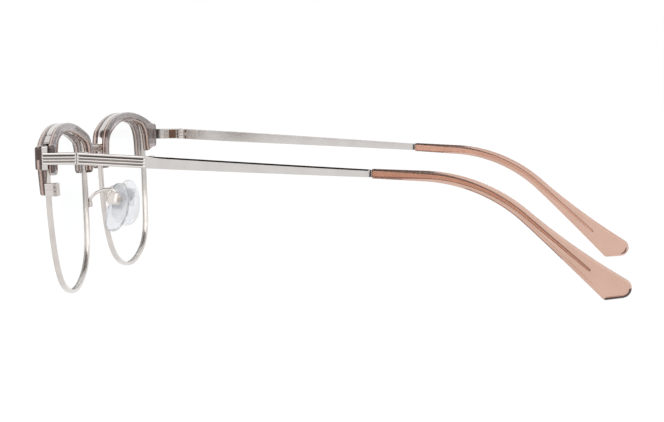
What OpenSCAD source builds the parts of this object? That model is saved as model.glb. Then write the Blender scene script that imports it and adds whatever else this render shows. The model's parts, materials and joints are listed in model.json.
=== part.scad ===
// Browline glasses: a metal rim round each lens, a two-layer acetate brow, sprung nose pads and folding temples.
// Millimetres, +Z up. The wearer looks towards -Y and the wearer's left side is +X.
// The glasses stand open on a table at Z = 0, on the bottoms of the rims and the ends of the temple tips.
// Each side part is modelled once, on the left, and mirrored for the right.

/* [Rim outline] */
// Width of one rim over its outer edges
eye_w = 50.8; // [46:0.2:56]
// Height of one rim over its outer edges
eye_h = 44.4; // [38:0.2:50]
// Gap between the two rims at the nose
nose_gap = 19.2; // [16:0.2:24]
// Radius of the top side
top_r = 75; // [60:1:200]
// How far the crown of the top side lies towards the temple
top_shift = 2.5; // [0:0.1:4]
// Radius of the bottom side
bottom_r = 36; // [32:0.5:60]
// How far the lowest point lies towards the temple
bottom_shift = 0.5; // [-1:0.1:2]
// Radius of the side by the nose
nasal_r = 62; // [50:1:150]
// Height of the rim's narrowest gap above the middle of the lens
nasal_rise = 7.5; // [4:0.1:9]
// Radius of the side by the temple
outer_r = 60; // [50:1:150]
// Height of the rim's widest point above the middle of the lens
outer_rise = 6.5; // [4:0.1:9]
// Corner radius at the top by the temple
top_outer_corner_r = 9; // [6:0.5:12]
// Corner radius at the top by the nose
top_nasal_corner_r = 6; // [4:0.5:12]
// Corner radius at the bottom by the nose
bottom_nasal_corner_r = 17; // [10:0.5:20]
// Corner radius at the bottom by the temple
bottom_outer_corner_r = 14; // [10:0.5:18]

/* [Lens and rim wire] */
// Radius of the lens curve
base_r = 240; // [150:5:500]
// How far the lenses lean, top towards the front, in degrees
lens_tilt = 3.3; // [0:0.1:6]
// How far the lenses turn back at the temples, in degrees
lens_wrap = 2.4; // [0:0.1:5]
// Thickness of the lens
lens_t = 1.0; // [0.8:0.05:1.1]
// Width of the rim wire from front to back
wire_t = 1.45; // [1.4:0.05:2]
// Depth of the rim wire towards the lens
wire_d = 1.0; // [0.9:0.05:1.4]
// Depth of the lens groove in the rim wire
groove_d = 0.45; // [0.3:0.05:0.5]

/* [Brow] */
// Depth of the brow from the rim's outer edge towards the lens
brow_d = 2.4; // [1.8:0.1:4]
// Thickness of the front layer, measured at the middle of the lens
brow_front_t = 1.1; // [0.9:0.1:2.5]
// Radius of the front layer's front surface, flatter than the lens so that the corners are thicker
brow_face_r = 310; // [240:5:500]
// Thickness of the rear layer
brow_rear_t = 1.8; // [1:0.1:3]
// Height above the middle of the lens where the brow ends at the nose
brow_nasal_rise = 7.6; // [4:0.1:10]
// How far the front layer's corner reaches past the rim
front_flare = 7.1; // [5:0.1:9]
// How far the rear layer's corner reaches past the rim
rear_flare = 4.8; // [3:0.1:5]
// How far both corners reach above the endpiece arm
flare_above = 3; // [2:0.1:3.6]
// How far the front layer's corner reaches below the endpiece arm
front_below = 2.9; // [2.2:0.1:4]
// How far the rear layer's corner reaches below the endpiece arm
rear_below = 4; // [2.2:0.1:4.4]
// How far the tails stand out from the rim below the corners
tail_out = 2.3; // [1:0.1:2.6]
// How far the front layer's tail reaches below the endpiece arm
front_tail = 9.7; // [6:0.1:11]
// How far the rear layer's tail reaches below the endpiece arm
rear_tail = 4.8; // [4:0.1:5]
// How far the metal between the layers stays inside their top edge
crest_in = 0.15; // [0.05:0.05:0.5]

/* [Endpiece] */
// How far the endpiece reaches out from the rim
endpiece_out = 7.4; // [6.4:0.1:9]
// Height of the endpiece arms and hinges below the top of the rims
arm_drop = 7.5; // [6:0.1:9]
// Thickness of the endpiece arm and the temple bar
arm_t = 1.1; // [0.9:0.05:1.4]
// Height of the endpiece arm
arm_h = 3; // [2.8:0.1:4]
// Distance from the brow plane back to the joint between endpiece and temple
joint_y = 10.7; // [9:0.1:14]
// Height of the lug that lies between the brow layers
lug_h = 5.9; // [4:0.1:7]
// Number of ribs along the arm and the front of the temple
rib_count = 4; // [2:1:4]
// Width of a groove between ribs
rib_groove_w = 0.36; // [0.2:0.02:0.5]
// Depth of a groove between ribs
rib_groove_d = 0.25; // [0.1:0.01:0.4]
// Radius of the pin hidden in the brow layers and the lug
brow_pin_r = 0.6; // [0.4:0.05:0.8]

/* [Hinge] */
// Radius of a hinge knuckle
knuckle_r = 1.15; // [1:0.05:1.5]
// Radius of the hinge screw
hinge_screw_r = 0.5; // [0.4:0.05:0.6]
// Radius of the hinge screw's head
hinge_head_r = 0.8; // [0.7:0.05:0.9]
// Height of the hinge over its three knuckles
hinge_h = 3.6; // [3:0.1:4.5]
// Thickness of the two hinge leaves
leaf_t = 0.8; // [0.6:0.05:1]
// Length of each hinge leaf along the arm or bar
leaf_len = 3.9; // [3:0.1:5]
// Distance from the joint back to the hinge axis
axis_back = 1.2; // [1:0.05:2]

/* [Temple] */
// Distance from the joint to the start of the bend over the ear
bend_from_joint = 85.3; // [78:0.5:95]
// How far the straight part of the temple slopes down, in degrees
temple_slope = 3.6; // [1:0.1:6]
// How far the end of the temple slopes down, in degrees
bend_slope = 41.5; // [30:0.5:50]
// Radius of the bend over the ear
bend_r = 40; // [25:1:50]
// Radius of the temple's bow towards the head
bow_r = 650; // [450:10:1500]
// Length of the ribbed part of the temple
ribbed_len = 17.6; // [10:0.1:25]
// Distance from the joint to the end of the bare bar
bar_len = 71.9; // [60:0.1:78]
// Height of the bar where the plastic tip starts
bar_end_h = 1.95; // [1.3:0.05:2.4]
// Height of the core wire where it enters the tip
core_h = 1.4; // [0.8:0.05:1.6]
// Height of the core wire at its end
core_end_h = 0.6; // [0.4:0.05:1]
// Thickness of the core wire inside the tip
core_t = 0.8; // [0.6:0.05:1]
// How far the core wire stays short of the end of the tip
core_short = 8; // [6:0.5:20]

/* [Temple tip] */
// Length of the small collar at the front of the tip
collar_len = 0.9; // [0.6:0.1:2]
// Height of the collar
collar_h = 2.05; // [1.9:0.05:2.6]
// Thickness of the collar, side to side
collar_t = 1.9; // [1.5:0.1:2.8]
// Thickness of the tip, side to side
tip_t = 2.8; // [2.4:0.1:3.4]
// Height of the tip where it starts
tip_start_h = 2.4; // [2:0.1:3]
// Height of the tip at the end of the bend
tip_bend_h = 3.1; // [2.6:0.1:4]
// Half height of the paddle below its middle line
paddle_low = 3.2; // [2.5:0.1:4]
// Half height of the paddle above its middle line
paddle_high = 4.25; // [3:0.05:5]
// Radius of the paddle's lower corner
paddle_low_r = 1.1; // [0.8:0.1:2]
// Radius of the paddle's rear corner
paddle_high_r = 2.45; // [1.5:0.05:3]
// How far the paddle's rear corner reaches past its lower corner
paddle_rake = 1.8; // [0.5:0.1:2.4]

/* [Nose pads] */
// Length of a nose pad
pad_len = 13.4; // [11:0.1:15]
// Width of a nose pad
pad_w = 6.8; // [6:0.1:8]
// Thickness of a nose pad
pad_t = 2.2; // [2:0.1:3]
// Distance of the pad's middle from the middle plane
pad_x = 6.6; // [5.5:0.1:8]
// Distance of the pad's middle behind the brow plane
pad_y = 7.7; // [6:0.1:10]
// Height of the pad's middle below the middle of the lens
pad_drop = 2.3; // [0:0.1:4]
// How far the pads open towards the back, in degrees
pad_splay = 25; // [15:1:40]
// How far the pads lean apart at the bottom, in degrees
pad_lean = 17.8; // [10:0.1:25]
// Height of the pad box above the pad's middle
box_up = 2; // [0:0.1:3]
// Length of the pad box along the pad
box_len = 3.4; // [3:0.1:4.5]
// Width of the pad box across the pad
box_w = 3.2; // [3:0.1:4]
// Depth of the pad box away from the pad
box_d = 2.2; // [2:0.1:3]
// Wall of the pad box
box_wall = 0.45; // [0.3:0.05:0.6]
// Radius of the pad screw
pad_screw_r = 0.4; // [0.3:0.05:0.5]
// Radius of the pad screw's head
pad_head_r = 0.75; // [0.6:0.05:0.9]
// Radius of the wire of the pad arm
arm_wire_r = 0.45; // [0.35:0.05:0.6]
// Height of the pad arm's foot below the middle of the lens
foot_below = 1.2; // [0:0.1:4]
// How far each pad can rock to either side of rest, in degrees
pad_rock = 10; // [5:1:12]

/* [Bridge and rim lock] */
// Height of the bridge below the top of the rims
bridge_drop = 8.8; // [7:0.1:11]
// Height of the bridge bar
bridge_h = 2.2; // [1.8:0.1:3]
// Thickness of the bridge bar
bridge_t = 1.4; // [1.2:0.1:2]
// How far the bridge arches out in the middle
bridge_arch = 1.5; // [0.5:0.1:3]
// How far the bridge's arch leans up from the front, in degrees
bridge_lean = 25; // [0:1:60]
// Distance of the rim lock's split below the endpiece arm
lock_below = 8.2; // [7.6:0.1:9]
// Height of the rim lock over both halves
lock_h = 3.3; // [2.4:0.1:4]
// Width of the rim lock outside the rim
lock_w = 2; // [1.8:0.1:2.6]
// Length of the rim lock behind the rim's middle
lock_len = 2.2; // [1.5:0.1:3]
// Radius of the rim lock's screw
lock_screw_r = 0.55; // [0.4:0.05:0.6]
// Gap between the two ends of the rim wire
lock_gap = 0.16; // [0.1:0.02:0.3]

/* [Hidden] */
$fn = 48;
// clearance of pieces that are seated, glued or soldered, and of pieces that turn
seat_gap = 0.01;
turn_gap = 0.05;
screw_gap = 0.02;
// reach of the cutting and trimming solids past what they cut
over = 1;
through = 20;

// lens frame: x towards the temple, y up, z forward, with its origin on the middle of the lens
lens_x = nose_gap / 2 + eye_w / 2;
lens_y = -0.6;
function sag(u, v) = (u * u + v * v) / (2 * base_r);
lens_z = eye_h / 2 * cos(lens_tilt) - (sag(0, eye_h / 2) - wire_t / 2) * sin(lens_tilt);
// a point of the lens frame in the frame of the whole glasses, before they are centred
function lens_point(u, v, forward) =
    let (
        depth = sag(u, v) - forward,
        back = depth * cos(lens_tilt) - v * sin(lens_tilt)
    )
    [
        lens_x + u * cos(lens_wrap) - back * sin(lens_wrap),
        lens_y + u * sin(lens_wrap) + back * cos(lens_wrap),
        lens_z + v * cos(lens_tilt) + depth * sin(lens_tilt)
    ];
// heights of the endpiece arms, the bridge and the pads above the table, and of the arm in the lens frame
rim_top_z = lens_z + eye_h / 2 * cos(lens_tilt);
arm_z = rim_top_z - arm_drop;
bridge_z = rim_top_z - bridge_drop;
pad_z = lens_z - pad_drop;
arm_v = (arm_z - lens_z) / cos(lens_tilt);
// height of the split in the rim wire, in the lens frame
lock_v = arm_v - lock_below;
outer_x = nose_gap / 2 + eye_w + endpiece_out;
outer_u = (outer_x - lens_x) / cos(lens_wrap);

// rim outline: four side arcs joined by four corner arcs that run smoothly into them
half_w = eye_w / 2;
half_h = eye_h / 2;
outer_c = [half_w - outer_r, outer_rise];
top_c = [top_shift, half_h - top_r];
nasal_c = [nasal_r - half_w, nasal_rise];
bottom_c = [bottom_shift, bottom_r - half_h];
// centre of a corner arc of radius r inside two side arcs that follow each other anticlockwise
function corner_centre(c1, r1, c2, r2, r) =
    let (
        gap = norm(c2 - c1),
        along = ((r1 - r) * (r1 - r) - (r2 - r) * (r2 - r) + gap * gap) / (2 * gap),
        across = sqrt((r1 - r) * (r1 - r) - along * along),
        t = (c2 - c1) / gap
    )
    c1 + t * along + across * [-t[1], t[0]];
top_outer_c = corner_centre(outer_c, outer_r, top_c, top_r, top_outer_corner_r);
top_nasal_c = corner_centre(top_c, top_r, nasal_c, nasal_r, top_nasal_corner_r);
bottom_nasal_c = corner_centre(nasal_c, nasal_r, bottom_c, bottom_r, bottom_nasal_corner_r);
bottom_outer_c = corner_centre(bottom_c, bottom_r, outer_c, outer_r, bottom_outer_corner_r);
function heading(from, to) = atan2(to[1] - from[1], to[0] - from[0]);
// points of an arc run anticlockwise, without its last point
function arc_points(c, r, a0, a1, steps) =
    let (turn = a1 < a0 ? a1 + 360 - a0 : a1 - a0)
    [for (i = [0:steps - 1]) c + r * [cos(a0 + turn * i / steps), sin(a0 + turn * i / steps)]];
side_steps = 8;
corner_steps = 14;
function side_arc(c, r, before, after, grow) =
    arc_points(c, r + grow, heading(c, before), heading(c, after), side_steps);
function corner_arc(c, r, before, after, grow) =
    arc_points(c, r + grow, heading(before, c), heading(after, c), corner_steps);
function rim_points(grow) = concat(
    side_arc(outer_c, outer_r, bottom_outer_c, top_outer_c, grow),
    corner_arc(top_outer_c, top_outer_corner_r, outer_c, top_c, grow),
    side_arc(top_c, top_r, top_outer_c, top_nasal_c, grow),
    corner_arc(top_nasal_c, top_nasal_corner_r, top_c, nasal_c, grow),
    side_arc(nasal_c, nasal_r, top_nasal_c, bottom_nasal_c, grow),
    corner_arc(bottom_nasal_c, bottom_nasal_corner_r, nasal_c, bottom_c, grow),
    side_arc(bottom_c, bottom_r, bottom_nasal_c, bottom_outer_c, grow),
    corner_arc(bottom_outer_c, bottom_outer_corner_r, bottom_c, outer_c, grow)
);

// hinge axis, and the path of the temple seen from the side as [Y, Z]
arm_in_x = outer_x - arm_t;
axis_x = arm_in_x - turn_gap - knuckle_r;
axis_y = joint_y + axis_back;
bow_x = outer_x - arm_t / 2;
bend_start = [joint_y + bend_from_joint, arm_z - bend_from_joint * tan(temple_slope)];
bend_c = bend_start - bend_r * [sin(temple_slope), cos(temple_slope)];
bend_end = bend_c + bend_r * [sin(bend_slope), cos(bend_slope)];
// the paddle's corner circles along and across its middle line, counted from the end of the bend
paddle_run = (bend_end[1] - paddle_low_r - (paddle_low - paddle_low_r) * cos(bend_slope)) / sin(bend_slope);
paddle_low_c = [paddle_run, paddle_low_r - paddle_low];
paddle_high_c = [paddle_run + paddle_rake, paddle_high - paddle_high_r];

// point of the temple's middle line at a distance along it from the joint, moved up across the line
bend_len = bend_r * (bend_slope - temple_slope) * PI / 180;
straight_len = bend_from_joint / cos(temple_slope);
function temple_slope_at(s) =
    s < straight_len ? temple_slope :
    s < straight_len + bend_len ? temple_slope + (s - straight_len) / bend_r * 180 / PI :
    bend_slope;
function temple_line(s) =
    s < straight_len ? [joint_y, arm_z] + s * [cos(temple_slope), -sin(temple_slope)] :
    s < straight_len + bend_len ? bend_c + bend_r * [sin(temple_slope_at(s)), cos(temple_slope_at(s))] :
    bend_end + (s - straight_len - bend_len) * [cos(bend_slope), -sin(bend_slope)];
function temple_point(s, up) = temple_line(s) + up * [sin(temple_slope_at(s)), cos(temple_slope_at(s))];
paddle_start = straight_len + bend_len;
core_end = paddle_start + paddle_run + paddle_low_r - core_short;
core_steps = 40;

// the whole glasses are centred on their length
tip_back = (bend_end + paddle_high_c[0] * [cos(bend_slope), -sin(bend_slope)]
    + paddle_high_c[1] * [sin(bend_slope), cos(bend_slope)])[0] + paddle_high_r;
front_y = lens_y - brow_face_r
    + (brow_face_r - wire_t / 2 - brow_front_t) * cos(lens_tilt) * cos(lens_wrap);
mid_y = (tip_back + front_y) / 2;

module centred() {
    translate([0, -mid_y, 0]) children();
}

// the right side is the left side mirrored
module right_side() {
    mirror([1, 0, 0]) children();
}

// turns the lens frame into the frame of the glasses
module lens_frame() {
    centred() translate([lens_x, lens_y, lens_z]) rotate([90 + lens_tilt, 0, lens_wrap]) children();
}

// part of the lens's curved shell between two distances in front of its middle surface, under an outline;
// its front surface may have a radius of its own
module curved_layer(from, to, own_r = 0) {
    reach = 48;
    face_r = own_r > 0 ? own_r : base_r + to;
    intersection() {
        linear_extrude(through, center = true) children();
        rotate_extrude($fn = 180) intersection() {
            difference() {
                translate([0, to - face_r]) circle(face_r, $fn = 1440);
                translate([0, -base_r]) circle(base_r + from, $fn = 1440);
            }
            translate([0, -through / 2]) square([reach, through]);
        }
    }
}

module rim_shape(grow) {
    polygon(rim_points(grow));
}

// everything within the rim, straight through from front to back
module rim_prism() {
    linear_extrude(through, center = true) rim_shape(seat_gap);
}

// where the brow's top edge, which carries on the rim's top side, meets the flat top of its corner
top_start_a = heading(top_c, top_outer_c);
flare_top_v = arm_v + flare_above;
least_turn = 0.5;
function top_end_a(u_out) =
    min(top_start_a - least_turn, max(asin((flare_top_v - top_c[1]) / top_r), acos((u_out - top_c[0]) / top_r)));

// the rim's metal fills its top corner out to the brow's outline, and stops just above the lug
module crest_shape() {
    crest_r = top_r - crest_in;
    crest_v = arm_v + lug_h / 2 + lock_gap;
    start_u = top_outer_c[0] + top_outer_corner_r / 2;
    start_a = acos((start_u - top_c[0]) / crest_r);
    end_a = asin((crest_v + wire_d / 4 - top_c[1]) / crest_r);
    end = top_c + crest_r * [cos(end_a), sin(end_a)];
    polygon(concat(
        [[start_u, crest_v], [end[0], crest_v]],
        arc_points(top_c, crest_r, end_a, start_a, side_steps),
        [top_c + crest_r * [cos(start_a), sin(start_a)]]
    ));
}

module wire_shape() {
    difference() {
        union() {
            rim_shape(0);
            crest_shape();
        }
        rim_shape(-wire_d);
        translate([half_w / 2, lock_v - lock_gap / 2]) square([half_w, lock_gap]);
    }
}

module left_lens() {
    color([0.93, 0.96, 0.97, 0.35]) lens_frame() curved_layer(-lens_t / 2, lens_t / 2)
        rim_shape(groove_d - wire_d - seat_gap);
}

module left_eyewire() {
    color([0.80, 0.78, 0.76]) lens_frame() difference() {
        curved_layer(-wire_t / 2, wire_t / 2) wire_shape();
        curved_layer(-lens_t / 2 - seat_gap, lens_t / 2 + seat_gap) rim_shape(groove_d - wire_d);
    }
}

// where a line from p touches a circle, on the side that lies clockwise from its centre
function tangent_point(p, c, r) =
    let (
        far = norm(c - p),
        turn = heading(p, c) + asin(r / far)
    )
    p + sqrt(far * far - r * r) * [cos(turn), sin(turn)];

// outline of a brow layer: over the rim, with a corner that reaches out to the endpiece and a tail below it
module brow_shape(flare, below, tail) {
    corner_r = 0.9;
    u_out = half_w + flare - corner_r;
    v_low = arm_v - below;
    end_r = brow_d / 2;
    tail_c = [half_w - end_r, arm_v - tail + end_r];
    shoulder = [half_w + tail_out, v_low];
    nasal_u = nasal_c[0] - sqrt(nasal_r * nasal_r - pow(brow_nasal_rise - nasal_rise, 2)) + end_r;
    difference() {
        union() {
            intersection() {
                rim_shape(0);
                polygon([
                    [-half_w - over, brow_nasal_rise + end_r], [0, brow_nasal_rise + end_r], [0, tail_c[1]],
                    [half_w + over, tail_c[1]], [half_w + over, half_h + over], [-half_w - over, half_h + over]
                ]);
            }
            polygon(concat(
                [
                    [half_w / 2, tail_c[1]], tail_c, tangent_point(shoulder, tail_c, end_r), shoulder,
                    [u_out, v_low], [u_out + corner_r, v_low + corner_r],
                    [u_out + corner_r, flare_top_v - corner_r], [u_out, flare_top_v]
                ],
                arc_points(top_c, top_r, top_end_a(u_out), top_start_a, side_steps),
                [top_c + top_r * [cos(top_start_a), sin(top_start_a)], [half_w / 2, half_h - brow_d]]
            ));
            translate([u_out, flare_top_v - corner_r]) circle(corner_r);
            translate([u_out, v_low + corner_r]) circle(corner_r);
        }
        rim_shape(-brow_d);
    }
    translate([nasal_u, brow_nasal_rise + end_r]) circle(end_r);
    translate(tail_c) circle(end_r);
}

// the brow pin stands outside the rim, and reaches this far into each layer
pin_out = 2.6;
pin_reach = 0.7;

// the pin runs through the lug and a little way into both layers
pin_half = wire_t / 2 + pin_reach;
module pin_solid(grow) {
    pin_u = half_w + pin_out;
    translate([pin_u, arm_v, -sag(pin_u, arm_v) - pin_half - grow])
        cylinder(r = brow_pin_r + grow, h = 2 * (pin_half + grow));
}

module pin_hole() {
    pin_solid(seat_gap);
}

module left_brow_front() {
    color([0.60, 0.47, 0.42]) lens_frame() difference() {
        curved_layer(wire_t / 2 + seat_gap, wire_t / 2 + brow_front_t, brow_face_r)
            brow_shape(front_flare, front_below, front_tail);
        pin_hole();
    }
}

module left_brow_rear() {
    color([0.53, 0.45, 0.43]) lens_frame() difference() {
        curved_layer(-wire_t / 2 - brow_rear_t, -wire_t / 2 - seat_gap) brow_shape(rear_flare, rear_below, rear_tail);
        pin_hole();
    }
}

module left_brow_pin() {
    color([0.70, 0.70, 0.70]) lens_frame() pin_solid(0);
}

// grooves that leave rib_count ribs, as strips along x with y across, centred on y = 0
module groove_strips(length) {
    pitch = arm_h / rib_count;
    for (i = [1:rib_count - 1]) {
        translate([0, i * pitch - arm_h / 2 - rib_groove_w / 2]) square([length, rib_groove_w]);
    }
}

module left_endpiece() {
    corner_r = 0.8;
    root_in = 0.3;
    lug_y = lens_point(outer_u, arm_v, 0)[1];
    edge_y = lug_y - wire_t / 2;
    color([0.80, 0.77, 0.74]) difference() {
        union() {
            lens_frame() difference() {
                curved_layer(-wire_t / 2, wire_t / 2) translate([half_w / 2, arm_v - lug_h / 2])
                    square([outer_u + over - half_w / 2, lug_h]);
                rim_prism();
                pin_hole();
            }
            centred() translate([arm_in_x, lug_y - root_in, arm_z - arm_h / 2])
                cube([arm_t, joint_y - turn_gap / 2 - lug_y + root_in, arm_h]);
        }
        // flush outer side, with a rounded front corner
        centred() translate([outer_x, 0, 0]) cube([through, joint_y + over, arm_z * 2]);
        centred() translate([outer_x - corner_r, edge_y + corner_r, 0]) linear_extrude(arm_z * 2) difference() {
            translate([0, -over - corner_r]) square([corner_r + over, corner_r + over]);
            circle(corner_r);
        }
        centred() translate([outer_x - rib_groove_d, 0, arm_z]) rotate([90, 0, 90])
            linear_extrude(over) groove_strips(joint_y);
    }
}

// one hinge knuckle with the web that joins it to its leaf, the web towards +Y or -Y
module knuckle(z0, z1, towards) {
    web = knuckle_r + leaf_clear + web_in;
    centred() translate([axis_x, axis_y, z0]) {
        cylinder(r = knuckle_r, h = z1 - z0);
        translate([0, towards > 0 ? 0 : -web, 0]) cube([knuckle_r, web, z1 - z0]);
    }
}

hinge_low = arm_z - hinge_h / 2;
third = hinge_h / 3;
// clear distance from a knuckle to the other leaf, and how far the webs run into their leaves
leaf_clear = 0.1;
web_in = 0.5;
module hinge_bore() {
    centred() translate([axis_x, axis_y, hinge_low - over])
        cylinder(r = hinge_screw_r + screw_gap, h = hinge_h + 2 * over);
}
head_sink = 0.4;
head_proud = 0.1;

module left_front_hinge() {
    color([0.62, 0.56, 0.52]) difference() {
        union() {
            knuckle(hinge_low, hinge_low + third - turn_gap / 2, -1);
            knuckle(hinge_low + 2 * third + turn_gap / 2, hinge_low + hinge_h, -1);
            centred() translate([arm_in_x - leaf_t, axis_y - knuckle_r - leaf_clear - leaf_len, hinge_low])
                cube([leaf_t - seat_gap, leaf_len, hinge_h]);
        }
        hinge_bore();
        centred() translate([axis_x, axis_y, hinge_low + hinge_h - head_sink])
            cylinder(r = hinge_head_r + screw_gap, h = head_sink + over);
    }
}

module left_hinge_screw() {
    slot_w = 0.25;
    color([0.75, 0.74, 0.72]) centred() translate([axis_x, axis_y, 0]) difference() {
        union() {
            translate([0, 0, hinge_low]) cylinder(r = hinge_screw_r, h = hinge_h - head_sink);
            translate([0, 0, hinge_low + hinge_h - head_sink]) cylinder(r = hinge_head_r, h = head_sink + head_proud);
        }
        translate([-over, -slot_w / 2, hinge_low + hinge_h - head_sink / 2]) cube([2 * over, slot_w, over]);
    }
}

// part of the temple's bowed shell between two distances from its middle, under a side outline in [Y, Z]
module bowed_layer(from, to) {
    intersection() {
        centred() rotate([90, 0, 90]) linear_extrude(outer_x + over) children();
        centred() translate([bow_x - bow_r, joint_y, -over]) difference() {
            cylinder(r = bow_r + to, h = 2 * arm_z, $fn = 1440);
            translate([0, 0, -over]) cylinder(r = bow_r + from, h = 2 * arm_z + 2 * over, $fn = 1440);
        }
    }
}

// strip along the temple from s0 to s1 with its half height at each end
module temple_strip(s0, s1, h0, h1, steps) {
    up = [for (i = [0:steps]) temple_point(s0 + (s1 - s0) * i / steps, h0 + (h1 - h0) * i / steps)];
    down = [for (i = [0:steps]) temple_point(s0 + (s1 - s0) * i / steps, -h0 - (h1 - h0) * i / steps)];
    polygon(concat(up, [for (i = [steps:-1:0]) down[i]]));
}

module left_temple_hinge() {
    neck_s = axis_back + knuckle_r + leaf_clear;
    color([0.80, 0.77, 0.74]) difference() {
        union() {
            intersection() {
                knuckle(hinge_low + third + turn_gap / 2, hinge_low + 2 * third - turn_gap / 2, 1);
                bowed_layer(-arm_t / 2 - 2 * knuckle_r - over, -arm_t / 2 - seat_gap)
                    translate([joint_y, 0]) square([2 * leaf_len, 2 * arm_z]);
            }
            bowed_layer(-arm_t / 2 - leaf_t, -arm_t / 2 - seat_gap)
                temple_strip(neck_s, neck_s + leaf_len, hinge_h / 2, arm_h / 2, 1);
        }
        hinge_bore();
    }
}

module left_temple_bar() {
    color([0.82, 0.80, 0.78]) {
        difference() {
            bowed_layer(-arm_t / 2, arm_t / 2) difference() {
                union() {
                    temple_strip(-over, ribbed_len, arm_h / 2, arm_h / 2, 1);
                    temple_strip(ribbed_len, bar_len, arm_h / 2, bar_end_h / 2, 1);
                }
                translate([joint_y + turn_gap / 2 - 2 * over, 0]) square([2 * over, 2 * arm_z]);
            }
            bowed_layer(arm_t / 2 - rib_groove_d, arm_t / 2 + over) {
                translate([joint_y, arm_z]) rotate(-temple_slope)
                    translate([-over, 0]) groove_strips(ribbed_len + over);
            }
        }
        bowed_layer(-core_t / 2, core_t / 2) temple_strip(bar_len, core_end, core_h / 2, core_end_h / 2, core_steps);
    }
}

module core_cut() {
    bowed_layer(-core_t / 2 - seat_gap, core_t / 2 + seat_gap)
        temple_strip(bar_len, core_end + seat_gap, core_h / 2 + seat_gap, core_end_h / 2 + seat_gap, core_steps);
}

module left_tip_collar() {
    color([0.55, 0.52, 0.50]) difference() {
        bowed_layer(-collar_t / 2, collar_t / 2)
            temple_strip(bar_len + seat_gap, bar_len + collar_len, collar_h / 2, collar_h / 2, 1);
        core_cut();
    }
}

// half height of the tip between its start and the end of the bend
tip_start = bar_len + collar_len + seat_gap;
function tip_half(s) =
    (tip_start_h + (tip_bend_h - tip_start_h) * (s - tip_start) / (paddle_start - tip_start)) / 2;
// edge of the paddle: from the tip's half height at the bend to its own, along a curve of the given power
function paddle_edge(run, half, power, steps) =
    [for (i = [0:steps]) [run * i / steps, tip_bend_h / 2 + (half - tip_bend_h / 2) * pow(i / steps, power)]];

module tip_shape() {
    steps = 12;
    bend_steps = 16;
    low_power = 1.25;
    high_power = 1.9;
    gap = paddle_high_c - paddle_low_c;
    // angle at which the straight end of the paddle leaves its two corner circles
    end_turn = heading(paddle_low_c, paddle_high_c) - 90 - asin((paddle_high_r - paddle_low_r) / norm(gap));
    low_edge = [for (p = paddle_edge(paddle_low_c[0], paddle_low, low_power, steps)) [p[0], -p[1]]];
    high_edge = paddle_edge(paddle_high_c[0], paddle_high, high_power, steps);
    corners = concat(
        arc_points(paddle_low_c, paddle_low_r, -90, end_turn, 8),
        arc_points(paddle_high_c, paddle_high_r, end_turn, 90, 12)
    );
    back = concat(low_edge, corners, [for (i = [steps:-1:0]) high_edge[i]]);
    front = [for (i = [0:bend_steps - 1]) tip_start + (paddle_start - tip_start) * i / bend_steps];
    polygon(concat(
        [for (s = front) temple_point(s, -tip_half(s))],
        [for (p = back) temple_point(paddle_start + p[0], p[1])],
        [for (i = [bend_steps - 1:-1:0]) temple_point(front[i], tip_half(front[i]))]
    ));
}

module left_temple_tip() {
    color([0.80, 0.60, 0.52, 0.8]) difference() {
        bowed_layer(-tip_t / 2, tip_t / 2) tip_shape();
        core_cut();
    }
}

// pad frame: x away from the nose, y across the pad towards the back, z up along the pad
module pad_frame() {
    centred() translate([pad_x, pad_y, pad_z]) rotate([0, -pad_lean, -pad_splay]) children();
}
// room that lets the pad rock without touching the box
rock_clear = 0.08;
box_clear = 0.1;
boss_clear = 0.3;
rock_gap = (box_len / 2 + box_clear) * tan(pad_rock) + rock_clear;
box_x = pad_t / 2 + rock_gap;
box_in_w = box_w - 2 * box_wall;
boss_r = (box_len - 2 * box_wall) / 2 - boss_clear;
pad_axis_x = box_x + box_d - box_wall - boss_r - box_clear;

module box_block(grow) {
    translate([box_x - grow, -box_w / 2 - grow, box_up - box_len / 2 - grow])
        cube([box_d + 2 * grow, box_w + 2 * grow, box_len + 2 * grow]);
}

module pad_pin(r, from, to) {
    translate([pad_axis_x, from, box_up]) rotate([-90, 0, 0]) cylinder(r = r, h = to - from);
}

module left_pad_box() {
    color([0.80, 0.78, 0.76]) pad_frame() difference() {
        box_block(0);
        translate([box_x - over, -box_in_w / 2, box_up - box_len / 2 + box_wall])
            cube([box_d - box_wall + over, box_in_w, box_len - 2 * box_wall]);
        pad_pin(pad_screw_r + screw_gap, -box_w, box_w);
    }
}

module left_pad_screw() {
    slot_w = 0.25;
    head_t = 0.45;
    color([0.70, 0.69, 0.67]) pad_frame() difference() {
        union() {
            pad_pin(pad_screw_r, -box_w / 2, box_w / 2 + seat_gap);
            pad_pin(pad_head_r, box_w / 2 + seat_gap, box_w / 2 + head_t);
        }
        translate([pad_axis_x - over, box_w / 2 + head_t / 2, box_up - slot_w / 2]) cube([2 * over, over, slot_w]);
    }
}

// the insert is moulded into the pad: a plate inside it and a rounded boss that sits in the box
plate_t = 0.5;
plate_deep = 0.4;
module insert_solid(grow) {
    plate_w = 3.4;
    plate_len = 5;
    boss_w = box_in_w - 2 * turn_gap;
    translate([pad_t / 2 - plate_t - plate_deep - grow, -plate_w / 2 - grow, box_up - plate_len / 2 - grow])
        cube([plate_t + 2 * grow, plate_w + 2 * grow, plate_len + 2 * grow]);
    translate([pad_t / 2 - plate_t - plate_deep, -boss_w / 2 - grow, box_up - boss_r - grow])
        cube([pad_axis_x - pad_t / 2 + plate_t + plate_deep, boss_w + 2 * grow, 2 * boss_r + 2 * grow]);
    pad_pin(boss_r, -boss_w / 2, boss_w / 2);
}

module left_pad_insert() {
    color([0.85, 0.86, 0.88, 0.7]) pad_frame() difference() {
        insert_solid(0);
        pad_pin(pad_screw_r + screw_gap, -box_w, box_w);
    }
}

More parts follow.
